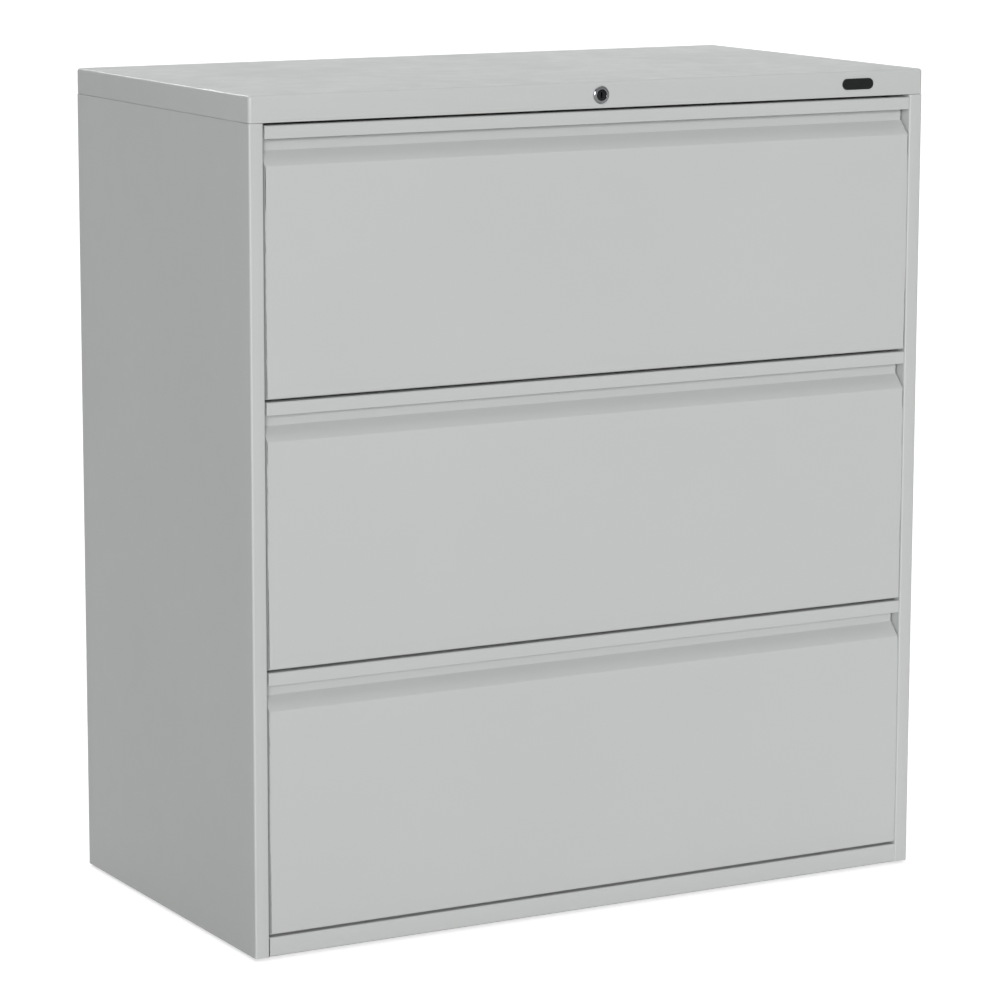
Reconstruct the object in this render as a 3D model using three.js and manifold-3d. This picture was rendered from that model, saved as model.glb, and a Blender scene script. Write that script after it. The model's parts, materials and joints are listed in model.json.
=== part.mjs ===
// Lateral filing cabinet with three drawers in a folded steel case.
// Millimetres, +Z up. The front faces -Y, and the floor is at z = 0.
// Inside the cabinet's own group, y counts the distance behind the front plane.

import * as THREE from "three";
import { mergeVertices } from "three/addons/utils/BufferGeometryUtils.js";
import loadManifold from "manifold-3d";

const wasm = await loadManifold();
wasm.setup();

// Overall case
const CASE_WIDTH = 914.4;
const CASE_DEPTH = 482.6;
const CASE_HEIGHT = 1003.3;
const FLOOR_GAP = 3; // lower edge of the case above the floor
const SHEET = 1.0; // gauge of the painted sheet steel
const BEND_RADIUS = 1.5; // inside radius of a fold
const BEND_STEPS = 3; // facets in a fold
const SEAM = 0.3; // gap between pieces that are welded, screwed or slid together
const ROUND_STEPS = 20; // facets round a turned piece

// Top cap and header
const CAP_SKIRT = 31;
const CAP_CORNER = 4;
const CAP_EDGE = 3.5;
const CAP_RETURN = 12;
const TONGUE_HEIGHT = 22; // how far the panels reach up inside the cap
const TONGUE_LAP = 20; // height of the weld below the tongue
const TONGUE_SETBACK = 26; // from the tongue's front end to the front plane
const CHANNEL_SETBACK = 13; // from the channel's end to the interlock bar's arm
const CHANNEL_FLANGE = 12;
const GUIDE_WIDTH = 14;
const GUIDE_HEIGHT = 7;
const GUIDE_SETBACKS = [265, 35]; // from the right end of the channel

// Stiles, back and base
const STILE_WIDTH = 18.3;
const STILE_RETURN = 41.2;
const BACK_FLANGE = 14;
const BACK_RETURN = 20;
const BASE_RAIL_TOP = 26.3;
const BASE_RAIL_RETURN = 16;
const COUNTERWEIGHT = { width: 700, thickness: 17, height: 150 };

// Posts that carry the slides
const POST_SHEET = 1.2;
const POST_DEPTH = 30;

// Drawer fronts
const DRAWER_NAMES = ["bottom", "middle", "top"];
const DRAWER_GAP = 3;
const SIDE_GAP = 1.3;
const FRONT_RETURN = 19.7;
const FRONT_FLANGE = 16;
const LIP_HEIGHT = 15;
const LIP_HEM = 5;
const RECESS_DEPTH = 16;
const RECESS_WALL = 14.3; // seen height of the recess wall, below the lip
const RECESS_SLOPE = 16.7; // height of the slope below that wall

// Drawer trays and hanging rails
const TRAY_REAR_ROOM = 8; // from the tray's back to the counterweight
const TRAY_FLOOR = 8; // above the lower edge of the drawer front
const TRAY_HEIGHT = 235;
const TRAY_RIM = 6;
const HANG_SPAN = 310; // between the two rails, for letter folders
const HANG_SHEET = 2;
const HANG_DROP = 17;
const HANG_RISE = 7;
const HANG_HOOK = 9;
const HANG_REAR_SETBACK = 25;

// Three-member slides
const RAIL_SETBACK = 4; // behind the tray's front wall
const RAIL_REAR_ROOM = 17; // from the rails' ends to the back panel
const RAIL_HEIGHT = 45;
const RAIL_STACK = 12.4; // thickness of the three members together
const RAIL_SHEET = 1.2;
const RAIL_FLANGE = 11;
const RAIL_BEND = 0.8;
const RAIL_BALL = 3; // room for the balls between two members' flanges
const RAIL_LEVEL = 70; // middle of the slide above the lower edge of the drawer front
const HOOK_WIDTH = 8;
const HOOK_NECK = 6;
const HOOK_DROP = 6;
const HOOK_SHEET = 1.5;

// Lock, lock rod and interlock bar
const LOCK_PROUD = 2.5;
const LOCK_RIM_RADIUS = 10.7;
const LOCK_BARREL_RADIUS = 8.5;
const LOCK_PLUG_RADIUS = 6.4;
const LOCK_PLUG_SETBACK = 0.6; // plug face behind the rim's face
const LOCK_TAIL = 6; // side of the plug's square tail
const LOCK_NUT_RADIUS = 12.5;
const LOCK_NUT_THICKNESS = 4;
const KEYWAY = { width: 1.8, height: 7, depth: 9 };
const CAM_THICKNESS = 2;
const CAM_GAP = 4.7; // between the cam and the lock rod
const CAM_HUB_RADIUS = 6.2;
const CAM_RADIUS = 8; // from the plug's axis to the cam's pin
const CAM_TIP_RADIUS = 3.5;
const LOCK_TURN = 90; // degrees
const PIN_RADIUS = 2;
const PIN_PLAY = 0.5;
const ROD_THICKNESS = 2;
const ROD_HEIGHT = 14;
const ROD_PLAY = 0.5; // between the lock rod and the interlock bar
const ROD_EDGE = 2.4; // steel left above the sloping slot
const ROD_MARGIN = 12; // steel left beside a slot
const BAR_THICKNESS = 3;
const BAR_PLAY = 2; // from the bar to the stile's return and to the tongue, sideways
const BAR_LIFT = 8;
const BAR_FOOT = 15; // bar below its lowest lug
const BAR_ARM_HEIGHT = 12;
const BAR_ARM_LENGTH = 35;
const BAR_PIN_INSET = 7;
const BAR_PIN_RISE = 11.7; // above the cap's lower edge
const LUG_REACH = 9; // past the stile, towards the tray
const LUG_LEVEL = 120;
const LUG_HEIGHT = 10;
const CATCH_PLAY = 3; // catch above the lug while unlocked
const CATCH_FREEPLAY = 4.5; // catch behind the lug
const CATCH_HEIGHT = 10;
const CATCH_LENGTH = 26;
const CATCH_REACH = 8;

// Blank oval plate on the header
const PLATE_WIDTH = 44.6;
const PLATE_HEIGHT = 13.6;
const PLATE_THICKNESS = 1.2;
const PLATE_INSET = 95.6; // from its middle to the right side

// Screw glides
const GLIDE_SIDE_INSET = 57; // from the sides
const GLIDE_INSET = 50; // from the front and the back
const GLIDE_FOOT_RADIUS = 14;
const GLIDE_FOOT_HEIGHT = 4;
const GLIDE_CONE_HEIGHT = 7;
const GLIDE_STEM_RADIUS = 4;
const GLIDE_STEM_RISE = 7; // above the bottom panel
const GLIDE_NUT_RADIUS = 8;
const GLIDE_NUT_HEIGHT = 10;

// Sizes and places that follow from the ones above
const HALF_WIDTH = CASE_WIDTH / 2;
const WALL_INSIDE = HALF_WIDTH - SHEET;
const OPENING_HALF = HALF_WIDTH - STILE_WIDTH;
const CAP_BOTTOM = CASE_HEIGHT - CAP_SKIRT;
const CAP_INSIDE = CASE_HEIGHT - SHEET;
const PANEL_TOP = CAP_BOTTOM - SEAM;
const TONGUE_OUTSIDE = WALL_INSIDE - SEAM;
const TONGUE_INSIDE = TONGUE_OUTSIDE - SHEET;
const TONGUE_FOOT = PANEL_TOP - TONGUE_LAP;
const BACK_FACE = CASE_DEPTH - SHEET - SEAM;
const PAN_TOP = BASE_RAIL_TOP - SHEET - SEAM;
const PAN_HALF = OPENING_HALF - SEAM;
const PAN_FRONT = BASE_RAIL_RETURN + SEAM;
const PAN_BACK = BACK_FACE - SHEET - SEAM;

const DRAWERS = DRAWER_NAMES.length;
const FRONT_HEIGHT = (CAP_BOTTOM - BASE_RAIL_TOP - (DRAWERS + 1) * DRAWER_GAP) / DRAWERS;
const DRAWER_PITCH = FRONT_HEIGHT + DRAWER_GAP;
const FRONT_HALF = OPENING_HALF - SIDE_GAP;
const LIP_BOTTOM = FRONT_HEIGHT - LIP_HEIGHT;
const WALL_BOTTOM = LIP_BOTTOM - RECESS_WALL;
const SLOPE_BOTTOM = WALL_BOTTOM - RECESS_SLOPE;

const RAIL_FACE = OPENING_HALF - SEAM;
const RAIL_TIP = RAIL_FACE - RAIL_FLANGE;
const RAIL_STEP = RAIL_SHEET + SEAM; // from one nested member's web to the next
const RAIL_RISE = RAIL_SHEET + RAIL_BALL; // from one member's flange to the next
const TRAY_HALF = RAIL_FACE - RAIL_STACK - SEAM;
const TRAY_FRONT = FRONT_RETURN + SEAM;
const WEIGHT_BACK = BACK_FACE - SHEET - SEAM;
const TRAY_BACK = WEIGHT_BACK - COUNTERWEIGHT.thickness - TRAY_REAR_ROOM;
const RAIL_START = TRAY_FRONT + RAIL_SETBACK;
const RAIL_END = BACK_FACE - RAIL_REAR_ROOM;
const TRAY_TOP = TRAY_FLOOR + TRAY_HEIGHT;
const HANG_REAR = TRAY_BACK - HANG_REAR_SETBACK;

const BAR_FRONT = STILE_RETURN + SEAM;
const BAR_BACK = BAR_FRONT + BAR_THICKNESS;
const FRONT_POST = BAR_BACK + SEAM;
const REAR_POST = BACK_FACE - BACK_RETURN - SEAM - POST_DEPTH;
const POST_TOP = TONGUE_FOOT - SEAM;
const ROD_BACK = BAR_FRONT - ROD_PLAY;
const ROD_FRONT = ROD_BACK - ROD_THICKNESS;
const CHANNEL_FLOOR = CAP_BOTTOM + SHEET + SEAM;
const CHANNEL_LEG = ROD_BACK + BEND_RADIUS;
const ROD_BOTTOM = CHANNEL_FLOOR + SHEET + SEAM;
const LOCK_LEVEL = CAP_BOTTOM + CAP_SKIRT / 2;
const CAM_START = THREE.MathUtils.degToRad(LOCK_TURN / 2);
const ROD_STROKE = 2 * CAM_RADIUS * Math.sin(CAM_START);
const CAM_BACK = ROD_FRONT - CAM_GAP;
const CAM_FRONT = CAM_BACK - CAM_THICKNESS;
const LOCK_BARREL_LENGTH = CAM_FRONT - SEAM;
const BAR_INNER = OPENING_HALF + BAR_PLAY;
const BAR_OUTER = TONGUE_INSIDE - BAR_PLAY;
const BAR_ARM_INNER = BAR_OUTER - BAR_ARM_LENGTH;
const BAR_PIN_X = BAR_ARM_INNER + BAR_PIN_INSET;
const BAR_PIN_LEVEL = CAP_BOTTOM + BAR_PIN_RISE;
const CHANNEL_HALF = BAR_ARM_INNER - CHANNEL_SETBACK;
const CATCH_FRONT = BAR_BACK + CATCH_FREEPLAY;
const CATCH_LEVEL = LUG_LEVEL + LUG_HEIGHT + CATCH_PLAY;

const FINISHES = {
  paint: { color: 0xc3c6c4, roughness: 0.45, metalness: 0.0 },
  zinc: { color: 0xb6babc, roughness: 0.35, metalness: 0.9 },
  chrome: { color: 0xd9dbdc, roughness: 0.12, metalness: 1.0 },
  blackSteel: { color: 0x3a3c3e, roughness: 0.6, metalness: 0.7 },
  blackPlastic: { color: 0x1e2022, roughness: 0.5, metalness: 0.0 },
};

// Turns a closed geometry into a solid that can be joined and cut.
function toSolid(geometry) {
  const bare = geometry.clone();
  bare.deleteAttribute("normal");
  bare.deleteAttribute("uv");
  const merged = mergeVertices(bare);
  const corners = merged.index.array;
  const triangles = [];
  for (let i = 0; i < corners.length; i += 3) {
    const [a, b, c] = corners.slice(i, i + 3);
    if (a !== b && b !== c && c !== a) triangles.push(a, b, c);
  }
  const vertProperties = Float32Array.from(merged.attributes.position.array);
  const triVerts = Uint32Array.from(triangles);
  return new wasm.Manifold(new wasm.Mesh({ numProp: 3, vertProperties, triVerts }));
}

// Turns a solid back into a geometry.
function toGeometry(solid) {
  const mesh = solid.getMesh();
  const geometry = new THREE.BufferGeometry();
  geometry.setAttribute("position", new THREE.Float32BufferAttribute(mesh.vertProperties, 3));
  geometry.setIndex(new THREE.Uint32BufferAttribute(mesh.triVerts, 1));
  geometry.computeVertexNormals();
  return geometry;
}

function join(...geometries) {
  return toGeometry(geometries.map(toSolid).reduce((whole, next) => whole.add(next)));
}

function cut(geometry, ...tools) {
  return toGeometry(tools.map(toSolid).reduce((rest, tool) => rest.subtract(tool), toSolid(geometry)));
}

// A block between two values on each axis.
function block(x0, x1, y0, y1, z0, z1) {
  const geometry = new THREE.BoxGeometry(x1 - x0, y1 - y0, z1 - z0);
  return geometry.translate((x0 + x1) / 2, (y0 + y1) / 2, (z0 + z1) / 2);
}

const X_AXIS = new THREE.Vector3(1, 0, 0);
const Y_AXIS = new THREE.Vector3(0, 1, 0);
const Z_AXIS = new THREE.Vector3(0, 0, 1);

function extrude(shape, length) {
  const options = { depth: length, bevelEnabled: false, curveSegments: ROUND_STEPS / 2 };
  return new THREE.ExtrudeGeometry(shape, options);
}

// A section in the (y, z) plane carried from x0 to x1.
function alongX(shape, x0, x1) {
  const turn = new THREE.Matrix4().makeBasis(Y_AXIS, Z_AXIS, X_AXIS);
  return extrude(shape, x1 - x0).applyMatrix4(turn).translate(x0, 0, 0);
}

// A section in the (x, z) plane carried from y0 to y1.
function alongY(shape, y0, y1) {
  const turn = new THREE.Matrix4().makeBasis(X_AXIS, Z_AXIS, Y_AXIS.clone().negate());
  return extrude(shape, y1 - y0).applyMatrix4(turn).translate(0, y1, 0);
}

// A section in the (x, y) plane carried from z0 to z1.
function alongZ(shape, z0, z1) {
  return extrude(shape, z1 - z0).translate(0, 0, z0);
}

// A piece turned about a line along Z, from its radii and heights.
function turned(profile) {
  const points = profile.map(([radius, height]) => new THREE.Vector2(radius, height));
  return new THREE.LatheGeometry(points, ROUND_STEPS).rotateX(Math.PI / 2);
}

// A turned piece laid along Y: a profile's heights then count behind the front plane.
function turnedAlongY(profile, x, z) {
  return turned(profile).rotateX(-Math.PI / 2).translate(x, 0, z);
}

// The two faces of a folded sheet. The corners lie on one face, and the sheet's
// thickness goes to the left of the way they run (side 1) or to the right (side -1).
function foldedFaces(corners, side, thickness = SHEET, bend = BEND_RADIUS) {
  const points = corners.map(([u, v]) => new THREE.Vector2(u, v));
  const near = [];
  const far = [];
  const put = (point, heading) => {
    const across = new THREE.Vector2(-Math.sin(heading), Math.cos(heading));
    near.push(point);
    far.push(point.clone().addScaledVector(across, side * thickness));
  };
  const headingFrom = (i) => points[i + 1].clone().sub(points[i]).angle();
  put(points[0], headingFrom(0));
  for (let i = 1; i < points.length - 1; i++) {
    const heading = headingFrom(i - 1);
    const rawTurn = headingFrom(i) - heading;
    const turn = Math.atan2(Math.sin(rawTurn), Math.cos(rawTurn));
    const radius = bend + (turn * side > 0 ? thickness : 0);
    const setback = radius * Math.tan(Math.abs(turn) / 2);
    const start = points[i].clone();
    start.x -= Math.cos(heading) * setback;
    start.y -= Math.sin(heading) * setback;
    const swing = radius * Math.sign(turn);
    for (let step = 0; step <= BEND_STEPS; step++) {
      const now = heading + (turn * step) / BEND_STEPS;
      const x = start.x + (Math.sin(now) - Math.sin(heading)) * swing;
      const y = start.y - (Math.cos(now) - Math.cos(heading)) * swing;
      put(new THREE.Vector2(x, y), now);
    }
  }
  put(points[points.length - 1], headingFrom(points.length - 2));
  return { near, far };
}

function foldedSheet(corners, side, thickness, bend) {
  const { near, far } = foldedFaces(corners, side, thickness, bend);
  return new THREE.Shape([...near, ...far.reverse()]);
}

function outline(points) {
  return new THREE.Shape(points.map(([u, v]) => new THREE.Vector2(u, v)));
}

// A slot or arm outline with round ends between two centres.
function roundEnded(x0, y0, x1, y1, startRadius, endRadius = startRadius) {
  const heading = Math.atan2(y1 - y0, x1 - x0);
  const shape = new THREE.Shape();
  shape.absarc(x0, y0, startRadius, heading + Math.PI / 2, heading + (3 * Math.PI) / 2, false);
  shape.absarc(x1, y1, endRadius, heading - Math.PI / 2, heading + Math.PI / 2, false);
  shape.closePath();
  return shape;
}

function circle(x, y, radius) {
  const shape = new THREE.Shape();
  shape.absarc(x, y, radius, 0, 2 * Math.PI, false);
  return shape;
}

// A block with round upright corners and round upper edges, open to a cut below z0.
function softTopBlock(half, y0, y1, z0, z1, corner, edge) {
  const shape = new THREE.Shape();
  shape.moveTo(-half + corner, y0);
  shape.lineTo(half - corner, y0);
  shape.absarc(half - corner, y0 + corner, corner, -Math.PI / 2, 0, false);
  shape.absarc(half - corner, y1 - corner, corner, 0, Math.PI / 2, false);
  shape.absarc(-half + corner, y1 - corner, corner, Math.PI / 2, Math.PI, false);
  shape.absarc(-half + corner, y0 + corner, corner, Math.PI, 1.5 * Math.PI, false);
  const geometry = new THREE.ExtrudeGeometry(shape, {
    depth: z1 - edge - z0,
    bevelThickness: edge,
    bevelSize: edge,
    bevelOffset: -edge,
    bevelSegments: BEND_STEPS,
    curveSegments: BEND_STEPS - 1,
  });
  geometry.translate(0, 0, z0);
  return cut(geometry, block(-half - edge, half + edge, y0 - edge, y1 + edge, z0 - 2 * edge, z0));
}

// Top cap: a tray turned over, with the header's lower edge folded back.
function topCap() {
  const inner = softTopBlock(
    WALL_INSIDE, SHEET, CASE_DEPTH - SHEET, CAP_BOTTOM - SHEET, CAP_INSIDE,
    CAP_CORNER - SHEET, CAP_EDGE - SHEET,
  );
  const outer = softTopBlock(HALF_WIDTH, 0, CASE_DEPTH, CAP_BOTTOM, CASE_HEIGHT, CAP_CORNER, CAP_EDGE);
  const shell = cut(outer, inner);
  const backOfHeader = SHEET / 2;
  const lowerReturn = block(
    -PAN_HALF, PAN_HALF, backOfHeader, CAP_RETURN, CAP_BOTTOM, CAP_BOTTOM + SHEET,
  );
  const lockHole = alongY(circle(0, LOCK_LEVEL, LOCK_BARREL_RADIUS + SEAM), -SHEET, 2 * SHEET);
  return cut(join(shell, lowerReturn), lockHole);
}

// Channel behind the header: it stiffens the cap and guides the lock rod.
function headerChannel() {
  const section = foldedSheet(
    [
      [2 * SHEET, CHANNEL_FLOOR],
      [CHANNEL_LEG + SHEET, CHANNEL_FLOOR],
      [CHANNEL_LEG + SHEET, CAP_INSIDE - SEAM - SHEET],
      [CHANNEL_LEG + SHEET + CHANNEL_FLANGE, CAP_INSIDE - SEAM - SHEET],
    ],
    1,
  );
  const guides = GUIDE_SETBACKS.map((setback) => {
    const x = CHANNEL_HALF - setback;
    const back = ROD_FRONT - SEAM;
    const floor = CHANNEL_FLOOR + SHEET / 2;
    return block(x, x + GUIDE_WIDTH, back - SHEET, back, floor, floor + GUIDE_HEIGHT);
  });
  const channel = alongX(section, -CHANNEL_HALF, CHANNEL_HALF);
  const nutRadius = LOCK_NUT_RADIUS + SEAM;
  const nutRoom = alongY(circle(0, LOCK_LEVEL, nutRadius), 0, SHEET + 2 * SEAM + LOCK_NUT_THICKNESS);
  return cut(join(channel, ...guides), nutRoom);
}

// Right side panel: stile, wall and rear flange in one folded sheet, with a tongue
// set inwards at the top that the cap slips over.
function sidePanel() {
  const plan = foldedSheet(
    [
      [OPENING_HALF, STILE_RETURN],
      [OPENING_HALF, 0],
      [HALF_WIDTH, 0],
      [HALF_WIDTH, CASE_DEPTH],
      [HALF_WIDTH - BACK_FLANGE, CASE_DEPTH],
    ],
    1,
  );
  const weld = WALL_INSIDE + SHEET / 4;
  const tongue = outline([
    [TONGUE_INSIDE, TONGUE_FOOT],
    [weld, TONGUE_FOOT],
    [weld, PANEL_TOP - SEAM],
    [TONGUE_OUTSIDE, PANEL_TOP],
    [TONGUE_OUTSIDE, PANEL_TOP + TONGUE_HEIGHT],
    [TONGUE_INSIDE, PANEL_TOP + TONGUE_HEIGHT],
  ]);
  return join(
    alongZ(plan, FLOOR_GAP, PANEL_TOP),
    alongY(tongue, TONGUE_SETBACK, BACK_FACE - BACK_RETURN - SEAM),
  );
}

function backPanel() {
  const plan = foldedSheet(
    [
      [TONGUE_OUTSIDE, BACK_FACE - BACK_RETURN],
      [TONGUE_OUTSIDE, BACK_FACE],
      [-TONGUE_OUTSIDE, BACK_FACE],
      [-TONGUE_OUTSIDE, BACK_FACE - BACK_RETURN],
    ],
    1,
  );
  return alongZ(plan, FLOOR_GAP, PANEL_TOP + TONGUE_HEIGHT);
}

function baseFrontRail() {
  const section = foldedSheet(
    [
      [BASE_RAIL_RETURN, FLOOR_GAP],
      [0, FLOOR_GAP],
      [0, BASE_RAIL_TOP],
      [BASE_RAIL_RETURN, BASE_RAIL_TOP],
    ],
    -1,
  );
  return alongX(section, -PAN_HALF, PAN_HALF);
}

const GLIDE_X = HALF_WIDTH - GLIDE_SIDE_INSET;
const GLIDE_PLACES = [
  ["front_left", -GLIDE_X, GLIDE_INSET],
  ["front_right", GLIDE_X, GLIDE_INSET],
  ["rear_left", -GLIDE_X, CASE_DEPTH - GLIDE_INSET],
  ["rear_right", GLIDE_X, CASE_DEPTH - GLIDE_INSET],
];

// Bottom panel: a pan turned over, with a nut welded under it for each glide.
function bottomPanel() {
  const section = foldedSheet(
    [
      [PAN_FRONT, FLOOR_GAP + SEAM],
      [PAN_FRONT, PAN_TOP],
      [PAN_BACK, PAN_TOP],
      [PAN_BACK, FLOOR_GAP + SEAM],
    ],
    -1,
  );
  const pan = alongX(section, -PAN_HALF, PAN_HALF);
  const flangeEnd = SHEET + BEND_RADIUS;
  const flanges = [-1, 1].map((hand) => {
    const inner = hand * (PAN_HALF - SHEET);
    const outer = hand * PAN_HALF;
    const x0 = Math.min(inner, outer);
    return block(x0, x0 + SHEET, PAN_FRONT + flangeEnd, PAN_BACK - flangeEnd, FLOOR_GAP + SEAM, PAN_TOP);
  });
  const nutTop = PAN_TOP - SHEET / 2;
  const nuts = GLIDE_PLACES.map(([, x, y]) =>
    alongZ(circle(x, y, GLIDE_NUT_RADIUS), nutTop - GLIDE_NUT_HEIGHT, nutTop),
  );
  const bores = GLIDE_PLACES.map(([, x, y]) =>
    alongZ(circle(x, y, GLIDE_STEM_RADIUS + SEAM), FLOOR_GAP, PAN_TOP + SHEET),
  );
  return cut(join(pan, ...flanges, ...nuts), ...bores);
}

function counterweight() {
  const { width, thickness, height } = COUNTERWEIGHT;
  const foot = PAN_TOP + SEAM;
  return block(-width / 2, width / 2, WEIGHT_BACK - thickness, WEIGHT_BACK, foot, foot + height);
}

// Right-hand post: a channel with a slot for each slide's hook.
function post(front) {
  const plan = foldedSheet(
    [
      [WALL_INSIDE - SEAM, front],
      [OPENING_HALF, front],
      [OPENING_HALF, front + POST_DEPTH],
      [WALL_INSIDE - SEAM, front + POST_DEPTH],
    ],
    -1,
    POST_SHEET,
  );
  const middle = front + POST_DEPTH / 2;
  const reach = HOOK_WIDTH / 2 + SEAM;
  const slots = DRAWER_NAMES.map((name, i) => {
    const sill = drawerBottom(i) + RAIL_LEVEL - HOOK_NECK / 2 - SEAM;
    const head = sill + HOOK_NECK + HOOK_DROP + 2 * SEAM;
    const behind = OPENING_HALF + 2 * POST_SHEET;
    return block(OPENING_HALF - SHEET, behind, middle - reach, middle + reach, sill, head);
  });
  return cut(alongZ(plan, PAN_TOP + SEAM, POST_TOP), ...slots);
}

function drawerBottom(index) {
  return BASE_RAIL_TOP + DRAWER_GAP + index * DRAWER_PITCH;
}

// Right outer rail, with a hook for the slot in each of its two posts.
function outerRail() {
  const half = RAIL_HEIGHT / 2;
  const section = foldedSheet(
    [
      [RAIL_TIP, half],
      [RAIL_FACE, half],
      [RAIL_FACE, -half],
      [RAIL_TIP, -half],
    ],
    -1,
    RAIL_SHEET,
    RAIL_BEND,
  );
  const lip = OPENING_HALF + POST_SHEET + SEAM;
  const hook = outline([
    [RAIL_FACE - RAIL_SHEET / 2, -HOOK_NECK / 2],
    [lip, -HOOK_NECK / 2],
    [lip, -HOOK_NECK / 2 - HOOK_DROP],
    [lip + HOOK_SHEET, -HOOK_NECK / 2 - HOOK_DROP],
    [lip + HOOK_SHEET, HOOK_NECK / 2],
    [RAIL_FACE - RAIL_SHEET / 2, HOOK_NECK / 2],
  ]);
  const hooks = [FRONT_POST, REAR_POST].map((front) => {
    const middle = front + POST_DEPTH / 2;
    return alongY(hook, middle - HOOK_WIDTH / 2, middle + HOOK_WIDTH / 2);
  });
  return join(alongY(section, RAIL_START, RAIL_END), ...hooks);
}

function middleRail() {
  const face = RAIL_FACE - RAIL_STEP;
  const half = RAIL_HEIGHT / 2 - RAIL_RISE;
  const section = foldedSheet(
    [
      [RAIL_TIP, half],
      [face, half],
      [face, -half],
      [RAIL_TIP, -half],
    ],
    -1,
    RAIL_SHEET,
    RAIL_BEND,
  );
  return alongY(section, RAIL_START, RAIL_END);
}

function innerRail() {
  const face = TRAY_HALF + SEAM;
  const tip = RAIL_FACE - 2 * RAIL_STEP;
  const half = RAIL_HEIGHT / 2 - 2 * RAIL_RISE;
  const section = foldedSheet(
    [
      [tip, half],
      [face, half],
      [face, -half],
      [tip, -half],
    ],
    1,
    RAIL_SHEET,
    RAIL_BEND,
  );
  return alongY(section, RAIL_START, RAIL_END);
}

// Drawer front: one sheet folded into the face, the slope and wall of the pull's
// recess, its top and its hanging lip, closed at both ends by returns.
function drawerFront() {
  const shelf = FRONT_HEIGHT - SHEET;
  const lower = [
    [FRONT_RETURN, 0],
    [0, 0],
    [0, SLOPE_BOTTOM],
    [RECESS_DEPTH, WALL_BOTTOM],
    [RECESS_DEPTH, shelf],
  ];
  const section = foldedSheet([...lower, [SHEET, shelf], [SHEET, LIP_BOTTOM]], -1);
  const skin = alongX(section, -FRONT_HALF, FRONT_HALF);
  const hem = block(-FRONT_HALF, FRONT_HALF, SHEET / 2, 2 * SHEET, LIP_BOTTOM, LIP_BOTTOM + LIP_HEM);
  const endPlate = new THREE.Shape([
    ...foldedFaces(lower, -1).near,
    new THREE.Vector2(FRONT_RETURN, shelf),
  ]);
  const ends = [-1, 1].flatMap((hand) => {
    const plateX = hand > 0 ? FRONT_HALF - SHEET : -FRONT_HALF;
    const flangeX = hand > 0 ? FRONT_HALF - FRONT_FLANGE : -FRONT_HALF;
    return [
      alongX(endPlate, plateX, plateX + SHEET),
      block(flangeX, flangeX + FRONT_FLANGE, FRONT_RETURN - SHEET, FRONT_RETURN, TRAY_FLOOR, TRAY_TOP),
    ];
  });
  return join(skin, hem, ...ends);
}

// Drawer tray: five walls, with the two side walls turned in at the top.
function drawerTray() {
  const outer = block(-TRAY_HALF, TRAY_HALF, TRAY_FRONT, TRAY_BACK, TRAY_FLOOR, TRAY_TOP);
  const inside = TRAY_HALF - SHEET;
  const hollow = block(
    -inside, inside, TRAY_FRONT + SHEET, TRAY_BACK - SHEET, TRAY_FLOOR + SHEET, TRAY_TOP - SHEET,
  );
  const throat = TRAY_HALF - TRAY_RIM;
  const mouth = block(
    -throat, throat, TRAY_FRONT + SHEET, TRAY_BACK - SHEET, TRAY_FLOOR + 2 * SHEET, TRAY_TOP + SHEET,
  );
  return cut(outer, hollow, mouth);
}

// Hanging rail: an upright strip whose ends hook over the tray's side walls.
function hangingRail(front) {
  const body = TRAY_HALF - TRAY_RIM - SEAM;
  const hookInside = TRAY_HALF + SEAM;
  const hookOutside = hookInside + HANG_SHEET;
  const seat = TRAY_TOP + SEAM;
  const rightHalf = [
    [body, TRAY_TOP - HANG_DROP],
    [body, seat],
    [hookInside, seat],
    [hookInside, TRAY_TOP - HANG_HOOK],
    [hookOutside, TRAY_TOP - HANG_HOOK],
    [hookOutside, TRAY_TOP + HANG_RISE],
  ];
  const leftHalf = rightHalf.map(([x, z]) => [-x, z]).reverse();
  return alongY(outline([...rightHalf, ...leftHalf]), front, front + HANG_SHEET);
}

// Lock catch: an angle on the tray's right wall, stopped by the raised lug.
function lockCatch() {
  const wall = TRAY_HALF + SEAM;
  const plan = foldedSheet(
    [
      [wall, CATCH_FRONT + CATCH_LENGTH],
      [wall, CATCH_FRONT],
      [wall + CATCH_REACH, CATCH_FRONT],
    ],
    1,
    RAIL_SHEET,
    RAIL_BEND,
  );
  return alongZ(plan, CATCH_LEVEL, CATCH_LEVEL + CATCH_HEIGHT);
}

function lockHousing() {
  const bore = LOCK_PLUG_RADIUS + SEAM;
  return turnedAlongY(
    [
      [bore, -LOCK_PROUD],
      [LOCK_RIM_RADIUS - LOCK_PROUD / 3, -LOCK_PROUD],
      [LOCK_RIM_RADIUS, -LOCK_PROUD / 2],
      [LOCK_RIM_RADIUS, -SEAM],
      [LOCK_BARREL_RADIUS, -SEAM],
      [LOCK_BARREL_RADIUS, LOCK_BARREL_LENGTH],
      [bore, LOCK_BARREL_LENGTH],
      [bore, -LOCK_PROUD],
    ],
    0,
    LOCK_LEVEL,
  );
}

function lockNut() {
  const front = SHEET + SEAM;
  const hexagon = new THREE.Shape();
  for (let corner = 0; corner < 6; corner++) {
    const angle = (corner * Math.PI) / 3;
    const x = LOCK_NUT_RADIUS * Math.cos(angle);
    const z = LOCK_LEVEL + LOCK_NUT_RADIUS * Math.sin(angle);
    if (corner === 0) hexagon.moveTo(x, z);
    else hexagon.lineTo(x, z);
  }
  hexagon.holes.push(circle(0, LOCK_LEVEL, LOCK_BARREL_RADIUS + SEAM));
  return alongY(hexagon, front, front + LOCK_NUT_THICKNESS);
}

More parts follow.
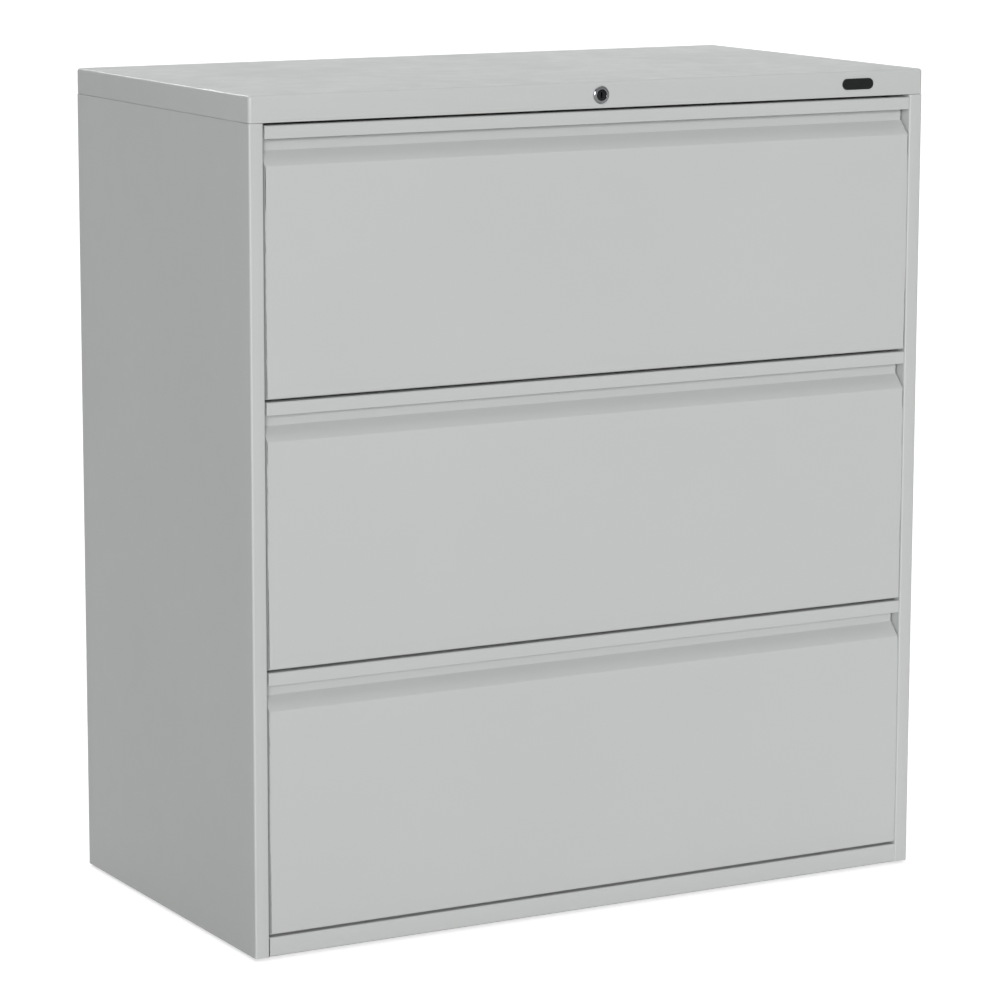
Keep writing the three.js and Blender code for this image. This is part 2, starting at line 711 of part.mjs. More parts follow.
// Lock plug with its key slot and the square tail that turns the cam.
function lockPlug() {
  const face = -LOCK_PROUD + LOCK_PLUG_SETBACK;
  const half = LOCK_TAIL / 2;
  const body = alongY(circle(0, LOCK_LEVEL, LOCK_PLUG_RADIUS), face, LOCK_BARREL_LENGTH);
  const tail = block(
    -half, half, LOCK_BARREL_LENGTH - SHEET, CAM_BACK, LOCK_LEVEL - half, LOCK_LEVEL + half,
  );
  const keyway = block(
    -KEYWAY.width / 2, KEYWAY.width / 2, face - SHEET, face + KEYWAY.depth,
    LOCK_LEVEL - KEYWAY.height / 2, LOCK_LEVEL + KEYWAY.height / 2,
  );
  return cut(join(body, tail), keyway);
}

// Lock cam at rest, its pin down to the right; the key swings it to the left.
function lockCam() {
  const pinX = CAM_RADIUS * Math.sin(CAM_START);
  const pinZ = LOCK_LEVEL - CAM_RADIUS * Math.cos(CAM_START);
  const plate = alongY(
    roundEnded(0, LOCK_LEVEL, pinX, pinZ, CAM_HUB_RADIUS, CAM_TIP_RADIUS), CAM_FRONT, CAM_BACK,
  );
  const pin = alongY(circle(pinX, pinZ, PIN_RADIUS), CAM_BACK - SHEET, ROD_BACK);
  const half = LOCK_TAIL / 2 + SEAM;
  const eye = block(
    -half, half, CAM_FRONT - SHEET, CAM_BACK + SHEET, LOCK_LEVEL - half, LOCK_LEVEL + half,
  );
  return cut(join(plate, pin), eye);
}

// Lock rod: the cam slides it sideways, and its sloping slot lifts the interlock bar.
function lockRod() {
  const pinX = CAM_RADIUS * Math.sin(CAM_START);
  const slotRadius = PIN_RADIUS + PIN_PLAY;
  const camLow = LOCK_LEVEL - CAM_RADIUS;
  const camHigh = LOCK_LEVEL - CAM_RADIUS * Math.cos(CAM_START);
  const right = BAR_PIN_X + ROD_STROKE + ROD_MARGIN / 2;
  const strip = block(
    pinX - ROD_MARGIN, BAR_PIN_X, ROD_FRONT, ROD_BACK, ROD_BOTTOM, ROD_BOTTOM + ROD_HEIGHT,
  );
  const headTop = BAR_PIN_LEVEL + BAR_LIFT + slotRadius + ROD_EDGE;
  const head = block(BAR_PIN_X - ROD_MARGIN, right, ROD_FRONT, ROD_BACK, ROD_BOTTOM, headTop);
  const camSlot = alongY(
    roundEnded(pinX, camLow, pinX, camHigh, slotRadius), ROD_FRONT - SHEET, ROD_BACK + SHEET,
  );
  const liftSlot = alongY(
    roundEnded(BAR_PIN_X, BAR_PIN_LEVEL, BAR_PIN_X + ROD_STROKE, BAR_PIN_LEVEL + BAR_LIFT, slotRadius),
    ROD_FRONT - SHEET,
    ROD_BACK + SHEET,
  );
  return cut(join(strip, head), camSlot, liftSlot);
}

// Interlock bar: it hangs on the rod's slot and carries a lug for each drawer.
function interlockBar() {
  const lugLevels = DRAWER_NAMES.map((name, i) => drawerBottom(i) + LUG_LEVEL);
  const foot = lugLevels[0] - BAR_FOOT;
  const armTop = BAR_PIN_LEVEL + BAR_ARM_HEIGHT / 2;
  const upright = block(BAR_INNER, BAR_OUTER, BAR_FRONT, BAR_BACK, foot, armTop);
  const arm = block(
    BAR_ARM_INNER, BAR_OUTER, BAR_FRONT, BAR_BACK, armTop - BAR_ARM_HEIGHT, armTop,
  );
  const pin = alongY(circle(BAR_PIN_X, BAR_PIN_LEVEL, PIN_RADIUS), ROD_FRONT, BAR_FRONT + SHEET);
  const lugs = lugLevels.map((level) =>
    block(OPENING_HALF - LUG_REACH, BAR_INNER + SHEET, BAR_FRONT, BAR_BACK, level, level + LUG_HEIGHT),
  );
  return join(upright, arm, pin, ...lugs);
}

// Blank oval plate on the header.
function headerPlate() {
  const radius = PLATE_HEIGHT / 2;
  const reach = PLATE_WIDTH / 2 - radius;
  const middle = HALF_WIDTH - PLATE_INSET;
  const shape = roundEnded(middle - reach, LOCK_LEVEL, middle + reach, LOCK_LEVEL, radius);
  return alongY(shape, -SEAM - PLATE_THICKNESS, -SEAM);
}

function glide() {
  return turned([
    [0, 0],
    [GLIDE_FOOT_RADIUS, 0],
    [GLIDE_FOOT_RADIUS, GLIDE_FOOT_HEIGHT],
    [GLIDE_STEM_RADIUS, GLIDE_CONE_HEIGHT],
    [GLIDE_STEM_RADIUS, PAN_TOP + GLIDE_STEM_RISE],
    [0, PAN_TOP + GLIDE_STEM_RISE],
  ]);
}

function addPiece(parent, name, geometry, finish) {
  const mesh = new THREE.Mesh(geometry, new THREE.MeshStandardMaterial(FINISHES[finish]));
  mesh.name = name;
  parent.add(mesh);
  return mesh;
}

// A group for the pieces of one hand: those on the left mirror those on the right.
function handedGroup(parent, hand, z = 0) {
  const group = new THREE.Group();
  group.position.z = z;
  if (hand === "left") group.scale.x = -1;
  parent.add(group);
  return group;
}

function addCase(cabinet) {
  addPiece(cabinet, "top_cap", topCap(), "paint");
  addPiece(cabinet, "header_channel", headerChannel(), "paint");
  addPiece(cabinet, "back_panel", backPanel(), "paint");
  addPiece(cabinet, "bottom_panel", bottomPanel(), "paint");
  addPiece(cabinet, "base_front_rail", baseFrontRail(), "paint");
  addPiece(cabinet, "counterweight", counterweight(), "blackSteel");
  addPiece(cabinet, "header_plate", headerPlate(), "blackPlastic");
  for (const hand of ["left", "right"]) {
    const side = handedGroup(cabinet, hand);
    addPiece(side, `${hand}_side_panel`, sidePanel(), "paint");
    addPiece(side, `front_${hand}_post`, post(FRONT_POST), "zinc");
    addPiece(side, `rear_${hand}_post`, post(REAR_POST), "zinc");
  }
  for (const [place, x, y] of GLIDE_PLACES) {
    addPiece(cabinet, `${place}_glide`, glide(), "zinc").position.set(x, y, 0);
  }
}

function addLock(cabinet) {
  addPiece(cabinet, "lock_housing", lockHousing(), "chrome");
  addPiece(cabinet, "lock_nut", lockNut(), "zinc");
  addPiece(cabinet, "lock_plug", lockPlug(), "chrome");
  addPiece(cabinet, "lock_cam", lockCam(), "zinc");
  addPiece(cabinet, "lock_rod", lockRod(), "zinc");
  addPiece(cabinet, "interlock_bar", interlockBar(), "zinc");
}

function addDrawer(cabinet, name, bottom) {
  const drawer = new THREE.Group();
  drawer.position.z = bottom;
  cabinet.add(drawer);
  addPiece(drawer, `${name}_drawer_front`, drawerFront(), "paint");
  addPiece(drawer, `${name}_drawer_tray`, drawerTray(), "paint");
  addPiece(drawer, `${name}_front_hanging_rail`, hangingRail(HANG_REAR - HANG_SPAN), "zinc");
  addPiece(drawer, `${name}_rear_hanging_rail`, hangingRail(HANG_REAR), "zinc");
  addPiece(drawer, `${name}_lock_catch`, lockCatch(), "zinc");
  for (const hand of ["left", "right"]) {
    const slide = handedGroup(drawer, hand, RAIL_LEVEL);
    addPiece(slide, `${name}_${hand}_outer_rail`, outerRail(), "zinc");
    addPiece(slide, `${name}_${hand}_middle_rail`, middleRail(), "zinc");
    addPiece(slide, `${name}_${hand}_inner_rail`, innerRail(), "zinc");
  }
}

const cabinet = new THREE.Group();
cabinet.name = "lateral_filing_cabinet";
cabinet.position.y = -(CASE_DEPTH - LOCK_PROUD) / 2;
addCase(cabinet);
addLock(cabinet);
DRAWER_NAMES.forEach((name, i) => addDrawer(cabinet, name, drawerBottom(i)));

export default cabinet;
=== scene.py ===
"""Looks of a three-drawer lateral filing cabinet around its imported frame, in metres."""

import json
import logging
import math
from dataclasses import dataclass
from enum import Enum
from typing import Callable, Sequence

import bpy
import numpy as np
from mathutils import Matrix, Vector, geometry

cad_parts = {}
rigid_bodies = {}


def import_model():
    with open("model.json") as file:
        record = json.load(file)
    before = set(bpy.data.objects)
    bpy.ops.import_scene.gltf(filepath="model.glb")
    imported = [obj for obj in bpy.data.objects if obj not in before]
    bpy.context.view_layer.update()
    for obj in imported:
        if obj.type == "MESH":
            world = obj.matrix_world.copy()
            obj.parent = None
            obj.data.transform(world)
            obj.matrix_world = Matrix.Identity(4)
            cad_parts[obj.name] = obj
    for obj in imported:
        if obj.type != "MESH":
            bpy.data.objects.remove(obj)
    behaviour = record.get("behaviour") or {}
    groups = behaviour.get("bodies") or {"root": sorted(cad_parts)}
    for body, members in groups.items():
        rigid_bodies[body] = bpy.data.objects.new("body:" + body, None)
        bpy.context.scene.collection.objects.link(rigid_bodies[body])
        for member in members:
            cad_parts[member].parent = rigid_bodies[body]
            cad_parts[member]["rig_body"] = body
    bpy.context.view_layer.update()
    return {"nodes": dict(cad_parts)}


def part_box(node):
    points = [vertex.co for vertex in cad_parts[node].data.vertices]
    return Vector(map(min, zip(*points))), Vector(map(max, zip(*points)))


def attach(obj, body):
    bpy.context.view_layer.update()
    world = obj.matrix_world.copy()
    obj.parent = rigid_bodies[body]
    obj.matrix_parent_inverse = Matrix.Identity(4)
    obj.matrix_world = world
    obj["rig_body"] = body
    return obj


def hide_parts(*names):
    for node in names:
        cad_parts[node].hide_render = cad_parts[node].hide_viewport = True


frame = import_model()

logging.basicConfig(level=logging.INFO, format="%(message)s")
log = logging.getLogger("cabinet")

Array = np.ndarray
Box = tuple[Array, Array]
Socket = bpy.types.NodeSocket
Inputs = bpy.types.NodeOutputs
FLOAT = "NodeSocketFloat"
NORMAL = "NodeSocketVector"
MM = 0.001
WELD = 0.02 * MM
BEND_FACET = math.radians(11)
SMOOTH_BELOW = math.radians(32)
BEVEL_ABOVE = math.radians(40)
DRAWERS = ("bottom", "middle", "top")
CORNERS = ("front_left", "front_right", "rear_left", "rear_right")


class Slot(str, Enum):
    """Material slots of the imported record."""

    PAINT = "paint"
    ZINC = "zinc"
    CHROME = "chrome"
    BLACK_STEEL = "black_steel"
    BLACK_PLASTIC = "black_plastic"


class Look(Enum):
    """Finishes that a piece can have."""

    POWDER = "grey_powder_coat"
    ZINC = "zinc_plate"
    CHROME = "bright_chrome"
    # Chrome of near-black colour: painted dark reflection of the surroundings in its colour.
    SMOKED = "smoked_chrome"
    RAW = "raw_steel"
    PLASTIC = "satin_plastic"


class Hand(Enum):
    """Side of the cabinet, with the sign of its x."""

    LEFT = -1
    RIGHT = 1

    @property
    def word(self) -> str:
        """Returns the hand as it stands in the node names."""
        return self.name.lower()


class Axis(Enum):
    """Way in which a flat section is carried, with the column of its coordinate."""

    X = 0
    Y = 1
    Z = 2

    def place(self, section: Array, station: float) -> Array:
        """Returns a section's points (n, 2) in space, with the station on this axis."""
        return np.insert(section, self.value, station, axis=1)


def box_of(node: str) -> Box:
    """Box of a node of the frame.

    Args:
        node: the node's name.

    Returns: its lowest and highest corner.
    """
    low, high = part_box(node)
    return np.array(low), np.array(high)


# Mesh tools


@dataclass
class Skin:
    """Points and faces of one or more closed surfaces.

    Attributes:
        points: array (n, 3).
        faces: blocks of faces with equally many corners, arrays (faces, corners).
    """

    points: Array
    faces: list[Array]

    def outward(self) -> "Skin":
        """Turns the faces so that the enclosed volume is positive.

        Each face is a fan of triangles, and the volume is a sixth of the sum of a . (b x c)
        over their corners.

        Returns: this skin, or a copy with every face reversed.
        """
        fans = []
        for block in self.faces:
            first = np.repeat(block[:, :1], block.shape[1] - 2, 1)
            fans.append(np.stack([first, block[:, 1:-1], block[:, 2:]], -1).reshape(-1, 3))
        a, b, c = (self.points[corner] for corner in np.vstack(fans).T)
        if np.einsum("ij,ij->", a, np.cross(b, c)) >= 0:
            return self
        return Skin(self.points, [block[:, ::-1] for block in self.faces])

    def mirrored(self, hand: Hand) -> "Skin":
        """Returns a right-hand skin as the skin of a hand, its x times the hand's sign."""
        return Skin(self.points * np.array([hand.value, 1, 1]), self.faces).outward()

    def hollowed(self, axis: Axis, depth: float, low: Array, high: Array, flat: Array) -> "Skin":
        """Gives the flat of a thin panel a gentle bow between its folds.

        The depth is a half sine each way, with a slow ripple, so it is zero at every edge.

        Args:
            axis: the way across the panel.
            depth: greatest move along it, with its sign.
            low, high: lowest and highest corner of the flat.
            flat: which points belong to the flat.

        Returns: the bowed skin.
        """
        places = np.clip((self.points - low) / (high - low), 0, 1)
        u, v = np.delete(places, axis.value, 1).T
        dome = np.sin(math.pi * u) * np.sin(math.pi * v)
        bow = dome * (0.8 + 0.2 * np.sin(5.3 * u + 1.1) * np.cos(4.1 * v))
        points = self.points.copy()
        points[flat, axis.value] += depth * bow[flat]
        return Skin(points, self.faces).outward()


def together(*skins: Skin) -> Skin:
    """Puts several closed skins into one.

    Args:
        skins: the closed skins.

    Returns: one skin that holds them all.
    """
    starts = np.cumsum([0, *[len(skin.points) for skin in skins]])
    faces = [block + start for skin, start in zip(skins, starts) for block in skin.faces]
    return Skin(np.vstack([skin.points for skin in skins]), faces)


def lofted(rings: Array, closed: bool = False) -> Skin:
    """Skin through closed rings of equal count.

    Face (i, j) joins points j and j + 1 of ring i to the same points of ring i + 1.

    Args:
        rings: array (rings, points, 3).
        closed: joins the last ring to the first, where the ends are otherwise filled.

    Returns: the closed skin.
    """
    count, around = rings.shape[:2]
    index = np.arange(count * around).reshape(count, around)
    near, far = (index, np.roll(index, -1, 0)) if closed else (index[:-1], index[1:])
    quads = np.stack([near, np.roll(near, -1, 1), np.roll(far, -1, 1), far], -1)
    ends = [] if closed else [index[:1, ::-1], index[-1:]]
    return Skin(rings.reshape(-1, 3), [quads.reshape(-1, 4), *ends]).outward()


def folded(
    corners: Sequence[tuple[float, float]], side: int, gauge: float, bend: float
) -> tuple[Array, Array]:
    """Section of a folded sheet with round bends.

    A bend of radius r that turns by t starts r * tan(t / 2) before its corner, and its
    points lie on the arc start + r * (sin h - sin h0, cos h0 - cos h) as heading h grows.

    Args:
        corners: sharp corners on the near face.
        side: 1 if the sheet lies left of the way they run, -1 if it lies right.
        gauge: thickness of the sheet.
        bend: inside radius of a fold.

    Returns: the near and the far face, arrays (n, 2) of equal length.
    """
    path = np.array(corners, float)
    legs = np.diff(path, axis=0)
    headings = np.arctan2(legs[:, 1], legs[:, 0])
    near, angles = [path[:1]], [headings[:1]]
    for corner, before, after in zip(path[1:-1], headings[:-1], headings[1:]):
        turn = math.remainder(after - before, 2 * math.pi)
        radius = bend + (gauge if turn * side > 0 else 0.0)
        steps = max(3, round(abs(turn) / BEND_FACET))
        now = before + turn * np.linspace(0, 1, steps + 1)
        back = radius * math.tan(abs(turn) / 2)
        start = corner - back * np.array([math.cos(before), math.sin(before)])
        swing = radius * math.copysign(1, turn)
        arc = np.column_stack([np.sin(now) - math.sin(before), math.cos(before) - np.cos(now)])
        near.append(start + swing * arc)
        angles.append(now)
    near_face = np.vstack([*near, path[-1:]])
    angle = np.concatenate([*angles, headings[-1:]])
    across = np.column_stack([-np.sin(angle), np.cos(angle)])
    return near_face, near_face + side * gauge * across


def divided(near: Array, far: Array, longest: float) -> tuple[Array, Array]:
    """Adds points on the long flats of a folded section.

    A flat that is cut in n gets points at every k / n of its way, on both faces.

    Args:
        near, far: faces of the section, arrays (n, 2).
        longest: greatest distance between two points afterwards.

    Returns: both faces with the added points.
    """
    lengths = np.linalg.norm(np.diff(near, axis=0), axis=1)
    counts = np.maximum(1, np.ceil(lengths / longest)).astype(int)
    spots = np.concatenate([i + np.arange(n) / n for i, n in enumerate(counts)] + [[len(counts)]])
    base = np.arange(len(near))
    columns = np.hstack([near, far]).T
    dense = np.column_stack([np.interp(spots, base, column) for column in columns])
    return dense[:, :2], dense[:, 2:]


def carried(near: Array, far: Array, path: Sequence[float], axis: Axis) -> Skin:
    """Carries a folded section along a straight path.

    Point (s, i) is point i of the section, put at station s.

    Args:
        near, far: faces of the section, arrays (n, 2).
        path: stations along the path, in order.
        axis: the way of the path.

    Returns: the closed skin, its ends filled by quads across the sheet.
    """
    ring = np.vstack([near, far[::-1]])
    skin = lofted(np.stack([axis.place(ring, s) for s in path]))
    around, step = len(ring), np.arange(len(near) - 1)
    strip = np.stack([step, step + 1, around - 2 - step, around - 1 - step], -1)
    last = strip + around * (len(path) - 1)
    walls, ends = skin.faces[0], np.vstack([strip[:, ::-1], last])
    if walls[0, 0] > walls[0, 2]:
        ends = ends[:, ::-1]
    return Skin(skin.points, [walls, ends])


def stations(start: float, end: float, longest: float) -> Array:
    """Even stations along a path.

    Args:
        start, end: first and last station.
        longest: greatest step.

    Returns: the stations, both ends included.
    """
    return np.linspace(start, end, max(2, math.ceil(abs(end - start) / longest) + 1))


def area_of(loop: Array) -> float:
    """Signed area of a closed outline, by the sum of the cross products of its points.

    Args:
        loop: points (n, 2).

    Returns: the area, positive if the points run anticlockwise.
    """
    after = np.roll(loop, -1, 0)
    return float(np.sum(loop[:, 0] * after[:, 1] - after[:, 0] * loop[:, 1])) / 2


def plate(loops: Sequence[Array], low: float, high: float, axis: Axis) -> Skin:
    """A flat plate with holes.

    Triangles fill the loops at both levels, and a wall joins each loop to its copy.

    Args:
        loops: the outline and then each hole, arrays (n, 2).
        low, high: levels of its faces along the axis.
        axis: the way through the plate.

    Returns: the closed skin.
    """
    ordered = [
        loop[:: 1 if (area_of(loop) > 0) == (i == 0) else -1] for i, loop in enumerate(loops)
    ]
    flat = np.vstack(ordered)
    lines = [Axis.Z.place(loop, 0.0).tolist() for loop in ordered]
    cells = np.array(geometry.tessellate_polygon(lines))
    (au, av), (bu, bv), (cu, cv) = (flat[cells[:, k]].T for k in range(3))
    turns = (bu - au) * (cv - av) - (bv - av) * (cu - au)
    cells[turns < 0] = cells[turns < 0][:, ::-1]
    count = len(flat)
    starts = np.cumsum([0, *[len(loop) for loop in ordered]])
    walls = []
    for start, loop in zip(starts, ordered):
        here = start + np.arange(len(loop))
        after = np.roll(here, -1)
        walls.append(np.stack([here, after, after + count, here + count], -1))
    points = np.vstack([axis.place(flat, low), axis.place(flat, high)])
    return Skin(points, [cells[:, ::-1], cells + count, np.vstack(walls)]).outward()


def rectangle(u0: float, u1: float, v0: float, v1: float) -> Array:
    """Outline of a rectangle.

    Args:
        u0, u1: lowest and highest first coordinate.
        v0, v1: lowest and highest second coordinate.

    Returns: points (4, 2), anticlockwise.
    """
    return np.array([[u0, v0], [u1, v0], [u1, v1], [u0, v1]])


def unit_ring(angle: Array) -> Array:
    """Points at radius 1, by the cosine and sine of each angle.

    Args:
        angle: the angles.

    Returns: points (n, 2).
    """
    return np.column_stack([np.cos(angle), np.sin(angle)])


def circle(centre: Sequence[float], radius: float, count: int) -> Array:
    """Outline of a circle: centre plus radius times the cosine and sine of even angles.

    Args:
        centre: its middle.
        radius: its radius.
        count: number of points.

    Returns: points (count, 2), anticlockwise.
    """
    return np.array(centre) + radius * unit_ring(np.arange(count) * 2 * math.pi / count)


def stadium(centre: Sequence[float], width: float, height: float, count: int) -> Array:
    """Outline with two straight sides and round ends.

    Each end is half a circle about the point half the width less its radius from the middle.

    Args:
        centre: its middle.
        width: full width.
        height: full height, twice the radius of the ends.
        count: points in each end.

    Returns: points (2 * count, 2), anticlockwise.
    """
    radius = height / 2
    end = radius * unit_ring(np.linspace(-math.pi / 2, math.pi / 2, count))
    cap = end + [width / 2 - radius, 0]
    return np.array(centre) + np.vstack([cap, -cap])


def rounded_ring(low: Array, high: Array, corner: float, steps: int) -> Array:
    """Rectangle with round corners, starting at the middle of its front side.

    Each corner is a quarter circle about the point one radius inside it, both ways.

    Args:
        low, high: lowest and highest (x, y).
        corner: radius of the corners.
        steps: facets in a corner.

    Returns: points (4 * steps + 5, 2), anticlockwise.
    """
    turns = np.linspace(0, math.pi / 2, steps + 1)
    outer = np.roll(rectangle(low[0], high[0], low[1], high[1]), -1, 0)
    inward = [(-1, 1), (-1, -1), (1, -1), (1, 1)]
    arcs = [
        point + corner * (np.array(way) + unit_ring(turns + (k - 1) * math.pi / 2))
        for k, (point, way) in enumerate(zip(outer, inward))
    ]
    return np.vstack([[[(low[0] + high[0]) / 2, low[1]]], *arcs])


def quarter(
    start: tuple[float, float], end: tuple[float, float], bulge: int, steps: int
) -> Array:
    """Quarter of an ellipse between two corners of a box.

    The shares of the way are sin t one way and 1 - cos t the other, over a quarter turn t.

    Args:
        start, end: first and last point.
        bulge: 1 to leave the start along its first coordinate, -1 along its second.
        steps: facets.

    Returns: points (steps + 1, 2), both ends included.
    """
    t = np.linspace(0, math.pi / 2, steps + 1)
    first, second = (np.sin(t), 1 - np.cos(t))[::bulge]
    a, b = np.array(start), np.array(end)
    return a + (b - a) * np.column_stack([first, second])


def turned(
    profile: Array, centre: Sequence[float], axis: Axis, count: int, closed: bool = False
) -> Skin:
    """Turns a profile about a straight line: each of its points becomes a circle.

    Args:
        profile: (radius, distance along the line) of each point.
        centre: where the line meets the plane across it.
        axis: the line's way.
        count: facets around.
        closed: the profile is a closed loop, as of a tube.

    Returns: the closed skin.
    """
    rings = np.stack([axis.place(circle(centre, r, count), d) for r, d in profile])
    return lofted(rings, closed)


# Finishes


class Tree:
    """Adds and joins the nodes of one node tree."""

    def __init__(self, tree: bpy.types.NodeTree) -> None:
        """Keeps a material's, world's or group's node tree."""
        self.tree = tree

    def add(self, kind: str, settings: dict | None = None, **inputs: object) -> bpy.types.Node:
        """Adds a node and fills or links its inputs.

        Args:
            kind: the node's type name.
            settings: attributes of the node itself.
            inputs: values, or sockets to link, by input name with _ for a space.

        Returns: the new node.
        """
        node = self.tree.nodes.new(kind)
        for name, value in (settings or {}).items():
            setattr(node, name, value)
        for name, value in inputs.items():
            self.feed(node.inputs[name.replace("_", " ")], value)
        return node

    def group(self, made: bpy.types.NodeTree, **inputs: float) -> bpy.types.NodeOutputs:
        """Places a shared node group with its own values here, and returns its outputs."""
        return self.add("ShaderNodeGroup", {"node_tree": made}, **inputs).outputs

    def feed(self, socket: Socket, value: object) -> None:
        """Links a socket to an input, or sets the input.

        Args:
            socket: the input.
            value: an output socket or a constant.
        """
        if isinstance(value, Socket):
            self.tree.links.new(value, socket)
        else:
            socket.default_value = value

    def math(self, operation: str, first: object, second: object) -> Socket:
        """Adds a math node.

        Args:
            operation: its operation.
            first, second: values or sockets.

        Returns: its output.
        """
        node = self.add("ShaderNodeMath", {"operation": operation})
        self.feed(node.inputs[0], first)
        self.feed(node.inputs[1], second)
        return node.outputs[0]

    def dot(self, first: object, second: object) -> Socket:
        """Adds the product of two directions.

        Args:
            first, second: the directions.

        Returns: the cosine between them.
        """
        node = self.add("ShaderNodeVectorMath", {"operation": "DOT_PRODUCT"})
        self.feed(node.inputs[0], first)
        self.feed(node.inputs[1], second)
        return node.outputs["Value"]

    def ramp(
        self, value: object, low: float, high: float, start: float = 0.0, end: float = 1.0
    ) -> Socket:
        """Maps a range smoothly onto another.

        Args:
            value: socket to map.
            low, high: values that give start and end.
            start, end: results at low and high.

        Returns: the mapped value.
        """
        node = self.add("ShaderNodeMapRange", {"interpolation_type": "SMOOTHSTEP"})
        for index, part in enumerate((value, low, high, start, end)):
            self.feed(node.inputs[index], part)
        return node.outputs[0]

    def noise(
        self, scale: object, detail: float = 2.0, stretch: Sequence[float] = (1, 1, 1)
    ) -> Socket:
        """Adds noise on the object's own coordinates.

        Args:
            scale: cells per metre, a value or socket.
            detail: finer layers of the noise.
            stretch: factor on each axis.

        Returns: the noise value, from 0 to 1.
        """
        where = self.add("ShaderNodeTexCoord").outputs["Object"]
        if tuple(stretch) != (1, 1, 1):
            where = self.add("ShaderNodeMapping", Vector=where, Scale=tuple(stretch)).outputs[0]
        return self.add("ShaderNodeTexNoise", Vector=where, Scale=scale, Detail=detail).outputs[0]

    def bump(self, strength: object, height: float, field: Socket) -> Socket:
        """Adds relief of a full height, shown at a strength, and returns the normal."""
        node = self.add("ShaderNodeBump", Strength=strength, Distance=height, Height=field)
        return node.outputs[0]

    def blend(self, share: Socket, first: object, second: object) -> Socket:
        """Mixes two colours.

        Args:
            share: how much of the second shows.
            first, second: the colours.

        Returns: the mixed colour.
        """
        node = self.add("ShaderNodeMix", {"data_type": "RGBA"})
        for index, value in ((0, share), (6, first), (7, second)):
            self.feed(node.inputs[index], value)
        return node.outputs[2]


def node_group(
    name: str,
    inputs: dict[str, float],
    outputs: dict[str, str],
    fill: Callable[[Tree, Inputs], dict[str, Socket]],
) -> bpy.types.NodeTree:
    """Makes a node group with named inputs and outputs.

    Args:
        name: the group's name.
        inputs: usual value by input name.
        outputs: socket type by output name.
        fill: takes the tree and its inputs, and returns a socket for each output.

    Returns: the group.
    """
    made = bpy.data.node_groups.new(name, "ShaderNodeTree")
    for label, value in inputs.items():
        socket = made.interface.new_socket(label, in_out="INPUT", socket_type=FLOAT)
        socket.default_value = value
    for label, kind in outputs.items():
        made.interface.new_socket(label, in_out="OUTPUT", socket_type=kind)
    tree = Tree(made)
    given, out = tree.add("NodeGroupInput"), tree.add("NodeGroupOutput")
    for label, socket in fill(tree, given.outputs).items():
        tree.feed(out.inputs[label], socket)
    return made


